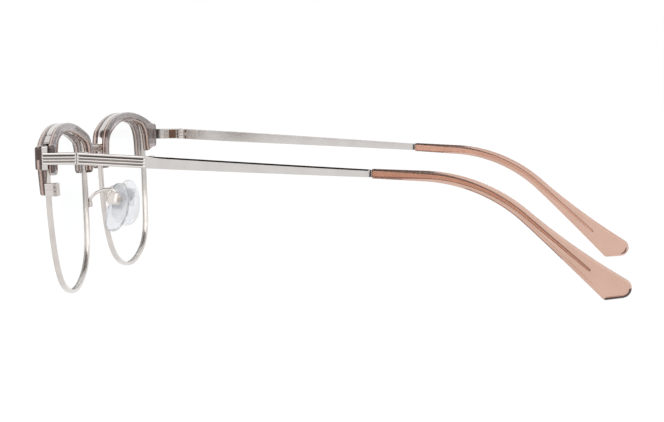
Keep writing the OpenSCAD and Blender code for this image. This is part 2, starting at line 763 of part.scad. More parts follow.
module left_nose_pad() {
    crown_r = 16;
    points = 48;
    color([0.90, 0.91, 0.93, 0.6]) pad_frame() difference() {
        intersection() {
            rotate([0, 90, 0]) translate([0, 0, -pad_t / 2]) linear_extrude(pad_t)
                polygon([for (i = [0:points - 1]) [pad_len / 2 * cos(i * 360 / points), pad_w / 2 * sin(i * 360 / points)]]);
            translate([crown_r - pad_t / 2, 0, 0]) sphere(crown_r, $fn = 180);
        }
        insert_solid(seat_gap);
    }
}

// the pad arm: up from its foot on the rim, over in a half-round loop and down to the box
module left_pad_arm() {
    foot = lens_point(-half_w + wire_d / 2, -foot_below, -wire_t / 2);
    root = [foot[0], foot[1] + arm_wire_r * foot_set];
    root_z = foot[2] - arm_wire_r;
    box_mid_x = box_x + box_d / 2;
    box_end_z = box_up + box_len / 2;
    x_at_box = box_mid_x * cos(pad_lean) - box_end_z * sin(pad_lean);
    box_top = [pad_x + x_at_box * cos(pad_splay), pad_y - x_at_box * sin(pad_splay)];
    span = norm(box_top - root);
    loop_z = pad_z + box_mid_x * sin(pad_lean) + box_end_z * cos(pad_lean) + loop_above;
    module arm_frame() {
        centred() translate([root[0], root[1], 0]) rotate([0, 0, heading(root, box_top)]) children();
    }
    color([0.80, 0.78, 0.76]) {
        difference() {
            arm_frame() translate([0, 0, root_z]) cylinder(r = arm_wire_r, h = loop_z - root_z);
            lens_frame() curved_layer(-wire_t / 2 - seat_gap, wire_t) rim_shape(seat_gap);
        }
        arm_frame() translate([span / 2, 0, loop_z]) rotate([90, 0, 0]) rotate_extrude(angle = 180)
            translate([span / 2, 0]) circle(arm_wire_r);
        difference() {
            arm_frame() translate([span, 0, loop_z - 2 * loop_above]) cylinder(r = arm_wire_r, h = 2 * loop_above);
            pad_frame() box_block(seat_gap);
        }
    }
}
// how much of the wire's radius stands clear of the rim at the foot, and how far the loop starts above the box
foot_set = 0.7;
loop_above = 0.4;

// the rim lock lies behind the brow's front layer: a block with a round back, bored for its screw from below
lock_back = sag(half_w + lock_w, lock_v + lock_h / 2) + seat_gap;
lock_axis = -sag(half_w, lock_v) - lock_len;
lock_head_r = 0.8;
lock_head_t = 0.5;
lock_head_sink = 0.1;
module lock_pin(r, from, to) {
    translate([half_w + lock_w / 2, lock_v + from, lock_axis]) rotate([-90, 0, 0]) cylinder(r = r, h = to - from);
}

module lock_shape() {
    translate([0, lock_v, 0]) rotate([90, 0, 0]) linear_extrude(lock_h, center = true) {
        translate([half_w - over, lock_axis]) square([over + lock_w, wire_t / 2 - lock_back - lock_axis]);
        translate([half_w + lock_w / 2, lock_axis]) circle(lock_w / 2);
    }
}

module lock_half(side) {
    color([0.80, 0.78, 0.76]) lens_frame() difference() {
        lock_shape();
        rim_prism();
        translate([0, side > 0 ? lock_v - lock_h + lock_gap / 2 : lock_v - lock_gap / 2, -through / 2])
            cube([2 * half_w, lock_h, through]);
        lock_pin(lock_screw_r + screw_gap, -lock_h, lock_h);
        lock_pin(lock_head_r + screw_gap, -lock_h, -lock_h / 2 + lock_head_t);
    }
}
module left_lock_upper() {
    lock_half(1);
}

module left_lock_lower() {
    lock_half(-1);
}

module left_lock_screw() {
    color([0.70, 0.69, 0.67]) lens_frame() {
        lock_pin(lock_screw_r, -lock_h / 2 + lock_head_t, lock_h / 2);
        lock_pin(lock_head_r, -lock_h / 2 + lock_head_sink, -lock_h / 2 + lock_head_t);
    }
}

// the bridge is an arc between the rims, and each end is cut to the rim's outline
module bridge() {
    v = (bridge_z - lens_z) / cos(lens_tilt);
    end_sink = 0.4;
    end = lens_point(-half_w + end_sink, v, 0);
    arc_r = (end[0] * end[0] + bridge_arch * bridge_arch) / (2 * bridge_arch);
    half_turn = asin(end[0] / arc_r) + 1;
    round_r = bridge_t / 2;
    color([0.84, 0.82, 0.79]) difference() {
        centred() translate([0, end[1], bridge_z]) rotate([-bridge_lean, 0, 0])
            translate([0, arc_r - bridge_arch, 0]) rotate([0, 0, -90 - half_turn])
            rotate_extrude(angle = 2 * half_turn, $fn = 360) translate([arc_r, 0]) {
                square([bridge_t, bridge_h - bridge_t], center = true);
                translate([0, (bridge_h - bridge_t) / 2]) circle(round_r);
                translate([0, -(bridge_h - bridge_t) / 2]) circle(round_r);
            }
        lens_frame() rim_prism();
        right_side() lens_frame() rim_prism();
    }
}

bridge();
left_lens();
left_eyewire();
left_lock_upper();
left_lock_lower();
left_lock_screw();
left_brow_front();
left_brow_rear();
left_brow_pin();
left_endpiece();
left_front_hinge();
left_hinge_screw();
left_temple_hinge();
left_temple_bar();
left_tip_collar();
left_temple_tip();
left_pad_arm();
left_pad_box();
left_pad_screw();
left_pad_insert();
left_nose_pad();
right_side() left_lens();  // right_lens
right_side() left_eyewire();  // right_eyewire
right_side() left_lock_upper();  // right_lock_upper
right_side() left_lock_lower();  // right_lock_lower
right_side() left_lock_screw();  // right_lock_screw
right_side() left_brow_front();  // right_brow_front
right_side() left_brow_rear();  // right_brow_rear
right_side() left_brow_pin();  // right_brow_pin
right_side() left_endpiece();  // right_endpiece
right_side() left_front_hinge();  // right_front_hinge
right_side() left_hinge_screw();  // right_hinge_screw
right_side() left_temple_hinge();  // right_temple_hinge
right_side() left_temple_bar();  // right_temple_bar
right_side() left_tip_collar();  // right_tip_collar
right_side() left_temple_tip();  // right_temple_tip
right_side() left_pad_arm();  // right_pad_arm
right_side() left_pad_box();  // right_pad_box
right_side() left_pad_screw();  // right_pad_screw
right_side() left_pad_insert();  // right_pad_insert
right_side() left_nose_pad();  // right_nose_pad
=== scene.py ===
import json
import math

import bmesh
import bpy
from mathutils import Matrix, Vector
from mathutils.geometry import tessellate_polygon


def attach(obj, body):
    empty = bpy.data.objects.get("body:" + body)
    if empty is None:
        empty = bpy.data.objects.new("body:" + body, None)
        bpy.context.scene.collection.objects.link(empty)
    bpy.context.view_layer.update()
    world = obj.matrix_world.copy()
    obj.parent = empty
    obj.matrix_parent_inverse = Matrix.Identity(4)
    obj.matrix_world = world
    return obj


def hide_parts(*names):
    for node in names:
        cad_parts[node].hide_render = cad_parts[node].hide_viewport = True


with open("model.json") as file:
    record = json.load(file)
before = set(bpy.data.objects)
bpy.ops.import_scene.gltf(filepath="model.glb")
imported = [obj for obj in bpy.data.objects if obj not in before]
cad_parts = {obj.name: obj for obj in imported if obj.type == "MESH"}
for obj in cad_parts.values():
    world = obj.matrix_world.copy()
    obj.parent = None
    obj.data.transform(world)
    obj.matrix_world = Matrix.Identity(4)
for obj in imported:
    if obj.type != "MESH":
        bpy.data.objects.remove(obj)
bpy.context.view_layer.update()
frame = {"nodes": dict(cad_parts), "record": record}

MM = 0.001

# Sizes, as in the part's source, in millimetres
eye_w, eye_h, nose_gap = 50.8, 44.4, 19.2
top_r, top_shift = 75.0, 2.5
bottom_r, bottom_shift = 36.0, 0.5
nasal_r, nasal_rise = 62.0, 7.5
outer_r, outer_rise = 60.0, 6.5
top_outer_corner_r, top_nasal_corner_r = 9.0, 6.0
bottom_nasal_corner_r, bottom_outer_corner_r = 17.0, 14.0
base_r, lens_tilt, lens_wrap = 240.0, 3.3, 2.4
lens_t, wire_t, wire_d, groove_d = 1.0, 1.45, 1.0, 0.45
brow_d, brow_front_t, brow_face_r, brow_rear_t, brow_nasal_rise = 2.4, 1.1, 310.0, 1.8, 7.6
front_flare, rear_flare, flare_above = 7.1, 4.8, 3.0
front_below, rear_below, front_tail, rear_tail = 2.9, 4.0, 9.7, 4.8
tail_out, crest_in, least_turn = 2.3, 0.15, 0.5
endpiece_out, arm_drop, arm_t, arm_h, joint_y, lug_h = 7.4, 7.5, 1.1, 3.0, 10.7, 5.9
rib_count = 4
knuckle_r, axis_back = 1.15, 1.2
bend_from_joint, temple_slope, bend_slope, bend_r, bow_r = 85.3, 3.6, 41.5, 40.0, 650.0
ribbed_len, bar_len, bar_end_h, core_h, core_end_h, core_t, core_short = 17.6, 71.9, 1.95, 1.4, 0.6, 0.8, 8.0
collar_len, collar_h, collar_t, tip_t, tip_start_h, tip_bend_h = 0.9, 2.05, 1.9, 2.8, 2.4, 3.1
paddle_low, paddle_high, paddle_low_r, paddle_high_r, paddle_rake = 3.2, 4.25, 1.1, 2.45, 1.8
pad_len, pad_w, pad_t, pad_x, pad_y, pad_drop, pad_splay, pad_lean = 13.4, 6.8, 2.2, 6.6, 7.7, 2.3, 25.0, 17.8
box_up, box_len, box_w, box_d, box_wall, pad_rock = 2.0, 3.4, 3.2, 2.2, 0.45, 10.0
arm_wire_r, foot_below, foot_set = 0.45, 1.2, 0.7
bridge_drop, bridge_h, bridge_t, bridge_arch, bridge_lean = 8.8, 2.2, 1.4, 1.5, 25.0
lock_below, lock_h, lock_w, lock_len, lock_gap = 8.2, 3.3, 2.0, 2.2, 0.16
leaf_len, leaf_clear = 3.9, 0.1
seat_gap, turn_gap, box_clear, rock_clear = 0.01, 0.05, 0.1, 0.08

# Sizes of the drawn forms alone
rib_depth, groove_share = 0.34, 0.56
knuckles_h, knuckle_gap, screw_r = 2.9, 0.03, 0.75
brow_corner_r, screw_head_r = 0.95, 0.72


def sind(a):
    return math.sin(math.radians(a))


def cosd(a):
    return math.cos(math.radians(a))


def tand(a):
    return math.tan(math.radians(a))


def part_of(*shares):
    """The least of the shares, kept between 0 and 1."""
    return max(0.0, min(1.0, *shares))


def round_in(r, t):
    """How far a rounded end of radius r draws in at the distance t from its face."""
    return r - math.sqrt(max(0, r**2 - (r - t) ** 2)) if t < r else 0.0


# The lens frame and the rim outline
half_w, half_h = eye_w / 2, eye_h / 2
lens_x, lens_y = nose_gap / 2 + eye_w / 2, -0.6


def sag(u, v):
    return (u * u + v * v) / (2 * base_r)


lens_z = half_h * cosd(lens_tilt) - (sag(0, half_h) - wire_t / 2) * sind(lens_tilt)
rim_top_z = lens_z + half_h * cosd(lens_tilt)
arm_z = rim_top_z - arm_drop
bridge_z = rim_top_z - bridge_drop
pad_z = lens_z - pad_drop
arm_v = (arm_z - lens_z) / cosd(lens_tilt)
lock_v = arm_v - lock_below
outer_x = nose_gap / 2 + eye_w + endpiece_out
outer_u = (outer_x - lens_x) / cosd(lens_wrap)

sides = {
    "outer": ((half_w - outer_r, outer_rise), outer_r),
    "top": ((top_shift, half_h - top_r), top_r),
    "nasal": ((nasal_r - half_w, nasal_rise), nasal_r),
    "bottom": ((bottom_shift, bottom_r - half_h), bottom_r),
}


def corner_centre(a, b, r):
    """The centre of the round corner of radius r between two sides of the rim."""
    (c1, r1), (c2, r2) = sides[a], sides[b]
    c1, c2 = Vector(c1), Vector(c2)
    gap = (c2 - c1).length
    along = ((r1 - r) ** 2 - (r2 - r) ** 2 + gap * gap) / (2 * gap)
    across = math.sqrt((r1 - r) ** 2 - along * along)
    t = (c2 - c1) / gap
    return c1 + t * along + Vector((-t.y, t.x)) * across


corners = {(a, b): (corner_centre(a, b, r), r) for a, b, r in (
    ("outer", "top", top_outer_corner_r),
    ("top", "nasal", top_nasal_corner_r),
    ("nasal", "bottom", bottom_nasal_corner_r),
    ("bottom", "outer", bottom_outer_corner_r),
)}


def heading(a, b):
    return math.degrees(math.atan2(b[1] - a[1], b[0] - a[0]))


def on_circle(c, r, a):
    return (c[0] + r * cosd(a), c[1] + r * sind(a))


def arc(c, r, a0, a1, steps, last=False):
    """Points of an arc from the angle a0 anticlockwise to a1, without the last one unless it is asked for."""
    turn = a1 - a0 + (360 if a1 < a0 else 0)
    return [on_circle(c, r, a0 + turn * i / steps) for i in range(steps + last)]


def rim_points(grow, side_steps=26, corner_steps=30):
    """The rim outline, anticlockwise seen from the front of the lens frame, grown or shrunk."""
    order = ["outer", "top", "nasal", "bottom"]
    pts = []
    for i, name in enumerate(order):
        before, after = order[i - 1], order[(i + 1) % 4]
        c, r = sides[name]
        c0 = corners[(before, name)][0]
        c1, rc = corners[(name, after)]
        pts += arc(c, r + grow, heading(c, c0), heading(c, c1), side_steps)
        pts += arc(c1, rc + grow, heading(c, c1), heading(sides[after][0], c1), corner_steps)
    return pts


def shell_z(u, v, d):
    """Forward place of the lens's curved shell, d in front of its middle surface."""
    return math.sqrt((base_r + d) ** 2 - u * u - v * v) - base_r


def face_z(u, v):
    """Forward place of the brow's own front face."""
    to = wire_t / 2 + brow_front_t
    return math.sqrt(brow_face_r**2 - u * u - v * v) + to - brow_face_r


# The temple's middle line, as [y, z]
arm_in_x = outer_x - arm_t
axis_x, axis_y = arm_in_x - turn_gap - knuckle_r, joint_y + axis_back
bow_x = outer_x - arm_t / 2
bend_start = (joint_y + bend_from_joint, arm_z - bend_from_joint * tand(temple_slope))
bend_c = (bend_start[0] - bend_r * sind(temple_slope), bend_start[1] - bend_r * cosd(temple_slope))
bend_end = (bend_c[0] + bend_r * sind(bend_slope), bend_c[1] + bend_r * cosd(bend_slope))
paddle_run = (bend_end[1] - paddle_low_r - (paddle_low - paddle_low_r) * cosd(bend_slope)) / sind(bend_slope)
paddle_low_c = (paddle_run, paddle_low_r - paddle_low)
paddle_high_c = (paddle_run + paddle_rake, paddle_high - paddle_high_r)
bend_len = bend_r * math.radians(bend_slope - temple_slope)
straight_len = bend_from_joint / cosd(temple_slope)
paddle_start = straight_len + bend_len
core_end = paddle_start + paddle_run + paddle_low_r - core_short
tip_start = bar_len + collar_len + seat_gap
tip_back = (
    bend_end[0] + paddle_high_c[0] * cosd(bend_slope) + paddle_high_c[1] * sind(bend_slope) + paddle_high_r
)
front_y = lens_y - brow_face_r + (brow_face_r - wire_t / 2 - brow_front_t) * cosd(lens_tilt) * cosd(lens_wrap)
mid_y = (tip_back + front_y) / 2


def temple_point(s, up):
    """The [y, z] of a point that lies s along the temple's middle line from the joint and up above it."""
    if s < straight_len:
        a = temple_slope
        y, z = joint_y + s * cosd(a), arm_z - s * sind(a)
    elif s < paddle_start:
        a = temple_slope + math.degrees((s - straight_len) / bend_r)
        y, z = bend_c[0] + bend_r * sind(a), bend_c[1] + bend_r * cosd(a)
    else:
        a = bend_slope
        run = s - paddle_start
        y, z = bend_end[0] + run * cosd(a), bend_end[1] - run * sind(a)
    return y + up * sind(a), z + up * cosd(a)


def above_middle(y, z):
    """Whether a point of the temple's side view lies above its middle line."""
    if y < bend_start[0]:
        return (z - bend_start[1]) * cosd(temple_slope) + (y - bend_start[0]) * sind(temple_slope) > 0
    if y < bend_end[0]:
        return (Vector((y, z)) - Vector(bend_c)).length > bend_r
    return (z - bend_end[1]) * cosd(bend_slope) + (y - bend_end[0]) * sind(bend_slope) > 0


# From each frame to the row frame, in metres
def rotation(angle, axis):
    return Matrix.Rotation(math.radians(angle), 3, axis)


lens_turn = rotation(lens_wrap, "Z") @ rotation(90 + lens_tilt, "X")
lens_place = Vector((lens_x, lens_y - mid_y, lens_z))
pad_turn = rotation(-pad_splay, "Z") @ rotation(-pad_lean, "Y")
pad_place = Vector((pad_x, pad_y - mid_y, pad_z))


def from_lens(p):
    return (lens_place + lens_turn @ Vector(p)) * MM


def on_shell(p, d):
    """A point of the lens frame's outline, d in front of the lens's curved middle surface."""
    return from_lens((p[0], p[1], shell_z(p[0], p[1], d)))


def from_bow(y, z, d):
    """A point of the temple's side outline, d outwards from its bowed middle surface."""
    x = bow_x - bow_r + math.sqrt((bow_r + d) ** 2 - (y - joint_y) ** 2)
    return Vector((x, y - mid_y, z)) * MM


def from_pad(p):
    return (pad_place + pad_turn @ Vector(p)) * MM


def row(p):
    """A point in the glasses' own millimetres, measured back from the brow plane."""
    return Vector((p[0], p[1] - mid_y, p[2])) * MM


def on_hinge(x, y, h):
    """A point beside the left hinge's axis, h above the arm's middle."""
    return row((axis_x + x, axis_y + y, arm_z + h))


def temple_ring(s, section):
    """A ring of the temple at the run s, from (out, up) points of its section."""
    ring = []
    for out, up in section:
        y, z = temple_point(s, up)
        ring.append(from_bow(y, z, out))
    return ring


def add_object(name, data):
    ob = bpy.data.objects.new(name, data)
    bpy.context.scene.collection.objects.link(ob)
    return ob


# Mesh tools
def new_mesh(name, verts, faces, side=1):
    """A mesh object from points in metres, and faces as their points and the number of their material.
    Side -1 mirrors it to the wearer's right."""
    me = bpy.data.meshes.new(name)
    me.from_pydata([(p[0] * side, p[1], p[2]) for p in verts], [], [points for points, _ in faces])
    for polygon, (_, number) in zip(me.polygons, faces):
        polygon.material_index = number
    bm = bmesh.new()
    bm.from_mesh(me)
    bmesh.ops.remove_doubles(bm, verts=bm.verts, dist=2e-7)
    bmesh.ops.recalc_face_normals(bm, faces=bm.faces)
    # each point's normal leans to its largest faces, so that flat faces look flat beside their rounded edges
    normals = []
    for v in bm.verts:
        lean = sum((f.normal * f.calc_area() for f in v.link_faces), Vector())
        normals.append(lean.normalized() if lean.length > 0 else v.normal.copy())
    bm.to_mesh(me)
    bm.free()
    for f in me.polygons:
        f.use_smooth = True
    me.normals_split_custom_set_from_vertices(normals)
    return add_object(name, me)


def loft(rings, caps=True, marks=None):
    """Faces and points of a tube through closed rings that all have the same number of points.
    marks(i, j) gives the number of the material between ring i and the next, at point j of the ring."""
    n = len(rings[0])
    verts = [p for ring in rings for p in ring]
    faces = []
    for i in range(len(rings) - 1):
        a, b = i * n, (i + 1) * n
        for j in range(n):
            k = (j + 1) % n
            faces.append(((a + j, a + k, b + k, b + j), marks(i, j) if marks else 0))
    if caps:
        for start in (0, (len(rings) - 1) * n):
            centre = len(verts)
            verts.append(sum((Vector(verts[start + j]) for j in range(n)), Vector()) / n)
            faces += [((start + j, start + (j + 1) % n, centre), 0) for j in range(n)]
    return verts, faces


def turned(place, profile, n=28):
    """A turned solid from (radius, height) pairs. place(x, y, height) puts a point where it belongs."""
    return loft([[place(x, y, h) for x, y in arc((0, 0), r, 0, 360, n)] for r, h in profile])


def offset(points, d):
    """A closed outline moved inwards by d. The outline runs anticlockwise."""
    n = len(points)
    out = []
    for i in range(n):
        a, p, b = Vector(points[i - 1]), Vector(points[i]), Vector(points[(i + 1) % n])
        e0, e1 = (p - a).normalized(), (b - p).normalized()
        n0, n1 = Vector((-e0.y, e0.x)), Vector((-e1.y, e1.x))
        m = (n0 + n1)
        if m.length < 1e-6:
            m = n0
        m.normalize()
        out.append(p + m * (d / max(0.35, m.dot(n0))))
    return [(p.x, p.y) for p in out]


def tidy_outline(points, least=0.04):
    """Drops points closer together than the given distance."""
    out = []
    for p in points:
        if not out or (Vector(p) - Vector(out[-1])).length > least:
            out.append(p)
    if (Vector(out[0]) - Vector(out[-1])).length <= least:
        out.pop()
    return out


def refine(points, longest):
    """Adds points so that no edge of a closed outline is longer than the given length."""
    out = []
    for i, p in enumerate(points):
        a, b = Vector(p), Vector(points[(i + 1) % len(points)])
        k = max(1, math.ceil((b - a).length / longest))
        out += [tuple(a.lerp(b, j / k)) for j in range(k)]
    return out


def slab(outline, place, low, high, r, steps=5, r_low=None, levels=(), tone=None):
    """A flat or curved plate under an outline, with its edges rounded by r, and by r_low at its low face.
    place(p, t) puts a point of the outline at height t. Each of levels, shares of the height, has a ring.
    tone(share, p) gives the number of the material of the side at that share of the height, next to p."""
    r_low = r if r_low is None else r_low
    thick = high - low
    rings, heights = [], []

    def add(inward, height):
        line = offset(outline, inward) if inward else outline
        heights.append(height)
        rings.append([place(p, low + height) for p in line])

    turns = [90 * i / steps for i in range(steps + 1)]
    for a in turns:
        add(r_low * (1 - sind(a)) if a < 90 else 0, r_low * (1 - cosd(a)))
    for share in levels:
        add(0, thick * share)
    for a in turns:
        add(r * (1 - cosd(a)), thick - r * (1 - sind(a)))
    marks = None
    if tone:
        def marks(i, j):
            return tone((heights[i] + heights[i + 1]) / 2 / thick, outline[j])
    verts, faces = loft(rings, caps=False, marks=marks)
    for ring, r_edge in ((0, r_low), (len(rings) - 1, r)):
        flat = offset(outline, r_edge)
        for tri in tessellate_polygon([[Vector((p[0], p[1], 0)) for p in flat]]):
            faces.append((tuple(ring * len(outline) + j for j in tri), 0))
    return verts, faces


def rounded_box(w, h, r, steps=4):
    """Points of a rounded rectangle, w by h, centred, anticlockwise."""
    pts = []
    for cx, cy, a0 in ((1, 1, 0), (-1, 1, 90), (-1, -1, 180), (1, -1, 270)):
        pts += arc((cx * (w / 2 - r), cy * (h / 2 - r)), r, a0, a0 + 90, steps, last=True)
    return pts


def tube(path, r, steps=18):
    """Points and faces of a round wire through a path in metres. r(share) is its radius along it."""
    turns = [2 * math.pi * j / steps for j in range(steps)]
    last = len(path) - 1
    rings = []
    up = None
    for i, p in enumerate(path):
        t = (path[min(i + 1, last)] - path[max(i - 1, 0)]).normalized()
        if up is None:
            up = t.orthogonal().normalized()
        up = (up - t * up.dot(t)).normalized()
        across = t.cross(up)
        rings.append([p + (up * math.cos(a) + across * math.sin(a)) * r(i / last) for a in turns])
    return loft(rings)


def join(*parts):
    """One list of points and faces from several."""
    verts, faces = [], []
    for part_verts, part_faces in parts:
        n = len(verts)
        verts += list(part_verts)
        faces += [(tuple(i + n for i in points), number) for points, number in part_faces]
    return verts, faces


def marked(part, number):
    """The same points and faces, with every face in the material of the given number."""
    verts, faces = part
    return verts, [(points, number) for points, _ in faces]


# Materials
def linear(r, g, b):
    """The shader colour of a colour written as it is seen, 0 to 255 a channel."""
    return tuple((c / 255 / 12.92) if c <= 10 else ((c / 255 + 0.055) / 1.055) ** 2.4 for c in (r, g, b))


def grey(v):
    return (v, v, v)


def node(nt, kind, x, y, sockets=None, **props):
    """A shader node. sockets gives its inputs: a constant, or the output socket that it is linked to."""
    n = nt.nodes.new(kind)
    n.location = (x, y)
    for key, value in props.items():
        setattr(n, key, value)
    for key, value in (sockets or {}).items():
        if isinstance(value, bpy.types.NodeSocket):
            nt.links.new(value, n.inputs[key])
        else:
            n.inputs[key].default_value = value
    return n


def new_material(name):
    """A bare material, its node tree, and the object's own coordinates."""
    m = bpy.data.materials.new(name)
    m.use_nodes = True
    m.node_tree.nodes.clear()
    coords = node(m.node_tree, "ShaderNodeTexCoord", -1100, 0).outputs["Object"]
    return m, m.node_tree, coords


def output(nt, **sockets):
    node(nt, "ShaderNodeOutputMaterial", 1100, 0, sockets)


def mix(nt, share, first, second):
    sockets = {"Fac": share, 1: first, 2: second}
    return node(nt, "ShaderNodeMixShader", 850, 0, sockets).outputs["Shader"]


def noise(nt, coords, scale, detail, y, stretch=(1, 1, 1)):
    mp = node(nt, "ShaderNodeMapping", -800, y, {"Vector": coords, "Scale": stretch})
    sockets = {"Vector": mp.outputs["Vector"], "Scale": scale, "Detail": detail}
    return node(nt, "ShaderNodeTexNoise", -600, y, sockets).outputs["Fac"]


def ramp(nt, source, low, high, c0, c1, y):
    rp = node(nt, "ShaderNodeValToRGB", -350, y, {"Fac": source})
    for i, (place, colour) in enumerate(((low, c0), (high, c1))):
        rp.color_ramp.elements[i].position = place
        rp.color_ramp.elements[i].color = tuple(colour) + (1,)
    return rp.outputs["Color"]


def cloudy(nt, coords, scale, dark, light):
    """A colour that drifts between two."""
    return ramp(nt, noise(nt, coords, scale, 4.0, 250), 0.35, 0.65, linear(*dark), linear(*light), 250)


def gloss(nt, source, rough, spread, bump, distance):
    """Gloss and relief from one fine pattern, as sockets of the shader."""
    relief = node(nt, "ShaderNodeBump", 300, -300, {"Height": source, "Strength": bump, "Distance": distance})
    spots = ramp(nt, source, 0.3, 0.7, grey(max(0.01, rough - spread)), grey(rough + spread), -50)
    return {"Roughness": spots, "Normal": relief.outputs["Normal"]}


def metal(name, dark, light, rough, spread=0.04, stretch=(1, 0.03, 1), bump=0.04):
    """Polished metal with a faint grain along its length and slight changes of tone and gloss."""
    m, nt, coords = new_material(name)
    hair = noise(nt, coords, 9000.0, 2.0, -50, stretch)
    sockets = {"Metallic": 1.0, "Base Color": cloudy(nt, coords, 260.0, dark, light)}
    sockets.update(gloss(nt, hair, rough, spread, bump, 0.00001))
    output(nt, Surface=node(nt, "ShaderNodeBsdfPrincipled", 600, 0, sockets).outputs["BSDF"])
    return m


def translucent(name, dark, light, inside, rough, through, ior=1.49, scale=160.0, milky=0.0):
    """Clear tinted plastic: cloudy in its colour, darker where it is thick, and it lets lamps through.
    inside is the colour and density of what absorbs light in it, or None."""
    m, nt, coords = new_material(name)
    sockets = {
        "IOR": ior,
        "Transmission Weight": through,
        "Subsurface Weight": milky,
        "Subsurface Radius": (1.0, 0.7, 0.6),
        "Subsurface Scale": 0.0015,
        "Base Color": cloudy(nt, coords, scale, dark, light),
    }
    sockets.update(gloss(nt, noise(nt, coords, 500.0, 2.0, -50), rough, rough * 0.2, 0.02, 0.000005))
    body = node(nt, "ShaderNodeBsdfPrincipled", 500, 0, sockets)
    clear = node(nt, "ShaderNodeBsdfTransparent", 500, 200, {"Color": linear(*light) + (1,)})
    shadow = node(nt, "ShaderNodeLightPath", 500, 500).outputs["Is Shadow Ray"]
    parts = {"Surface": mix(nt, shadow, body.outputs["BSDF"], clear.outputs["BSDF"])}
    if inside:
        colour, density = inside
        absorb = {"Color": linear(*colour) + (1,), "Density": density}
        parts["Volume"] = node(nt, "ShaderNodeVolumeAbsorption", 850, -300, absorb).outputs["Volume"]
    output(nt, **parts)
    return m


def lens_material(name):
    """Clear coated lens: what is behind shows through, with a faint even reflection."""
    m, nt, coords = new_material(name)
    cloud = noise(nt, coords, 60.0, 2.0, 200)
    fine = noise(nt, coords, 400.0, 2.0, -50)
    sockets = {
        "Alpha": 0.07,
        "IOR": 1.5,
        "Base Color": ramp(nt, cloud, 0.3, 0.7, linear(226, 236, 236), linear(240, 246, 242), 200),
        "Roughness": ramp(nt, fine, 0.3, 0.7, grey(0.015), grey(0.035), -50),
    }
    output(nt, Surface=node(nt, "ShaderNodeBsdfPrincipled", 600, 0, sockets).outputs["BSDF"])
    return m


every_way, along = (1, 1, 1), (1, 0.05, 1)
rim_metal = metal("polished_rim_metal", (203, 196, 192), (213, 207, 203), 0.15, stretch=along)
temple_metal = metal("polished_temple_metal", (203, 198, 195), (208, 204, 201), 0.13, spread=0.02, bump=0.01)
hinge_metal = metal("satin_hinge_metal", (200, 192, 186), (212, 205, 200), 0.2, stretch=every_way)
# a lighter copy of the rim metal: painted highlight on the bridge and the pad cups
highlight_painted_metal = metal("cream_bridge_metal", (222, 215, 210), (232, 226, 221), 0.26, stretch=along)
# a darker copy of the rim metal: painted shade on the lock's outer side
band_shade_metal = metal("soft_band_metal", (176, 169, 165), (190, 184, 180), 0.2, stretch=along)
screw_metal = metal("bright_screw_metal", (190, 184, 180), (216, 212, 208), 0.16, stretch=every_way)
# darker copies of the temple metal: painted shade in the arm's grooves, darkest in the top one
top_groove_shade_metal = metal("shaded_recess_metal", (104, 96, 92), (124, 116, 112), 0.3)
lower_grooves_shade_metal = metal("soft_groove_metal", (158, 151, 147), (172, 165, 161), 0.3)
# painted dark reflection on the bar's top bevel, painted shade in the collar's waist; also the lock's small
# dark dots
shade_metal = metal("dark_edge_metal", (62, 52, 48), (86, 74, 68), 0.3)
# a darker brown copy of the hinge metal: painted shade in the hinge's sunk face and notch
hinge_recess_shade_metal = metal("bronze_recess_metal", (96, 72, 58), (140, 112, 96), 0.3, stretch=every_way)
core_metal = metal("coppery_core_metal", (216, 176, 152), (226, 188, 164), 0.25, stretch=along, bump=0.0)
# copies of the core metal: painted light on its inner face, painted shade on its upper and lower edges
core_lit_inside_metal = metal("pale_core_metal", (240, 214, 200), (246, 222, 208), 0.25, stretch=along, bump=0.0)
core_top_shade_metal = metal("dark_core_edge", (78, 52, 42), (104, 72, 60), 0.3, stretch=along, bump=0.0)
core_low_shade_metal = metal("brown_edge_metal", (150, 108, 88), (170, 128, 108), 0.3, stretch=along, bump=0.0)
# the plastics of one closed piece share what is inside it
brow_inside = ((150, 112, 104), 300.0)
brow_plastic = translucent("smoky_brow_plastic", (206, 194, 192), (224, 212, 209), brow_inside, 0.04, 0.85)
# copies of the brow plastic: painted shade and painted highlight in bands along the sides
brow_shade_plastic = translucent("dark_brow_edge", (70, 50, 46), (94, 70, 64), brow_inside, 0.05, 0.2)
brow_highlight_plastic = translucent("light_brow_streak", (228, 196, 180), (240, 210, 196), brow_inside, 0.04, 0.35)
tip_inside = ((216, 164, 136), 150.0)
tip_plastic = translucent("rosy_tip_plastic", (218, 188, 172), (228, 200, 185), tip_inside, 0.0, 0.94,
                          scale=90.0)
# copies of the tip plastic: painted reflection at the paddle's end, painted shade round its rim
tip_end_shade_plastic = translucent("dark_tip_end", (66, 44, 42), (84, 60, 56), tip_inside, 0.06, 0.2)
tip_rim_shade_plastic = translucent("brown_tip_edge", (150, 108, 92), (172, 130, 112), tip_inside, 0.06, 0.4)
pad_plastic = translucent("clear_pad_plastic", (240, 241, 244), (247, 248, 250), None, 0.1, 0.8,
                          ior=1.24, milky=0.2)
lens_glass = lens_material("clear_lens")

slot_material = {
    "rim_metal": rim_metal,
    "hinge_metal": hinge_metal,
    "screw_metal": screw_metal,
    "brow_plastic": brow_plastic,
    "tip_plastic": tip_plastic,
    "pad_plastic": pad_plastic,
    "pad_insert_plastic": pad_plastic,
    "lens": lens_glass,
}
node_slot = {s["node"]: s["material_slot"] for s in frame["record"]["subparts"]}


def dress(ob, material):
    """Every material slot of an object gets the one material."""
    if not ob.data.materials:
        ob.data.materials.append(None)
    for s in ob.material_slots:
        s.link = "OBJECT"
        s.material = material


for name, ob in frame["nodes"].items():
    dress(ob, slot_material[node_slot[name]])


def finish_piece(ob, body, materials, slot, *nodes):
    """Dresses a piece in its materials, puts it under its body, and hides the CAD nodes it replaces."""
    for m in materials:
        ob.data.materials.append(m)
    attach(ob, body)
    if nodes:
        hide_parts(*nodes)


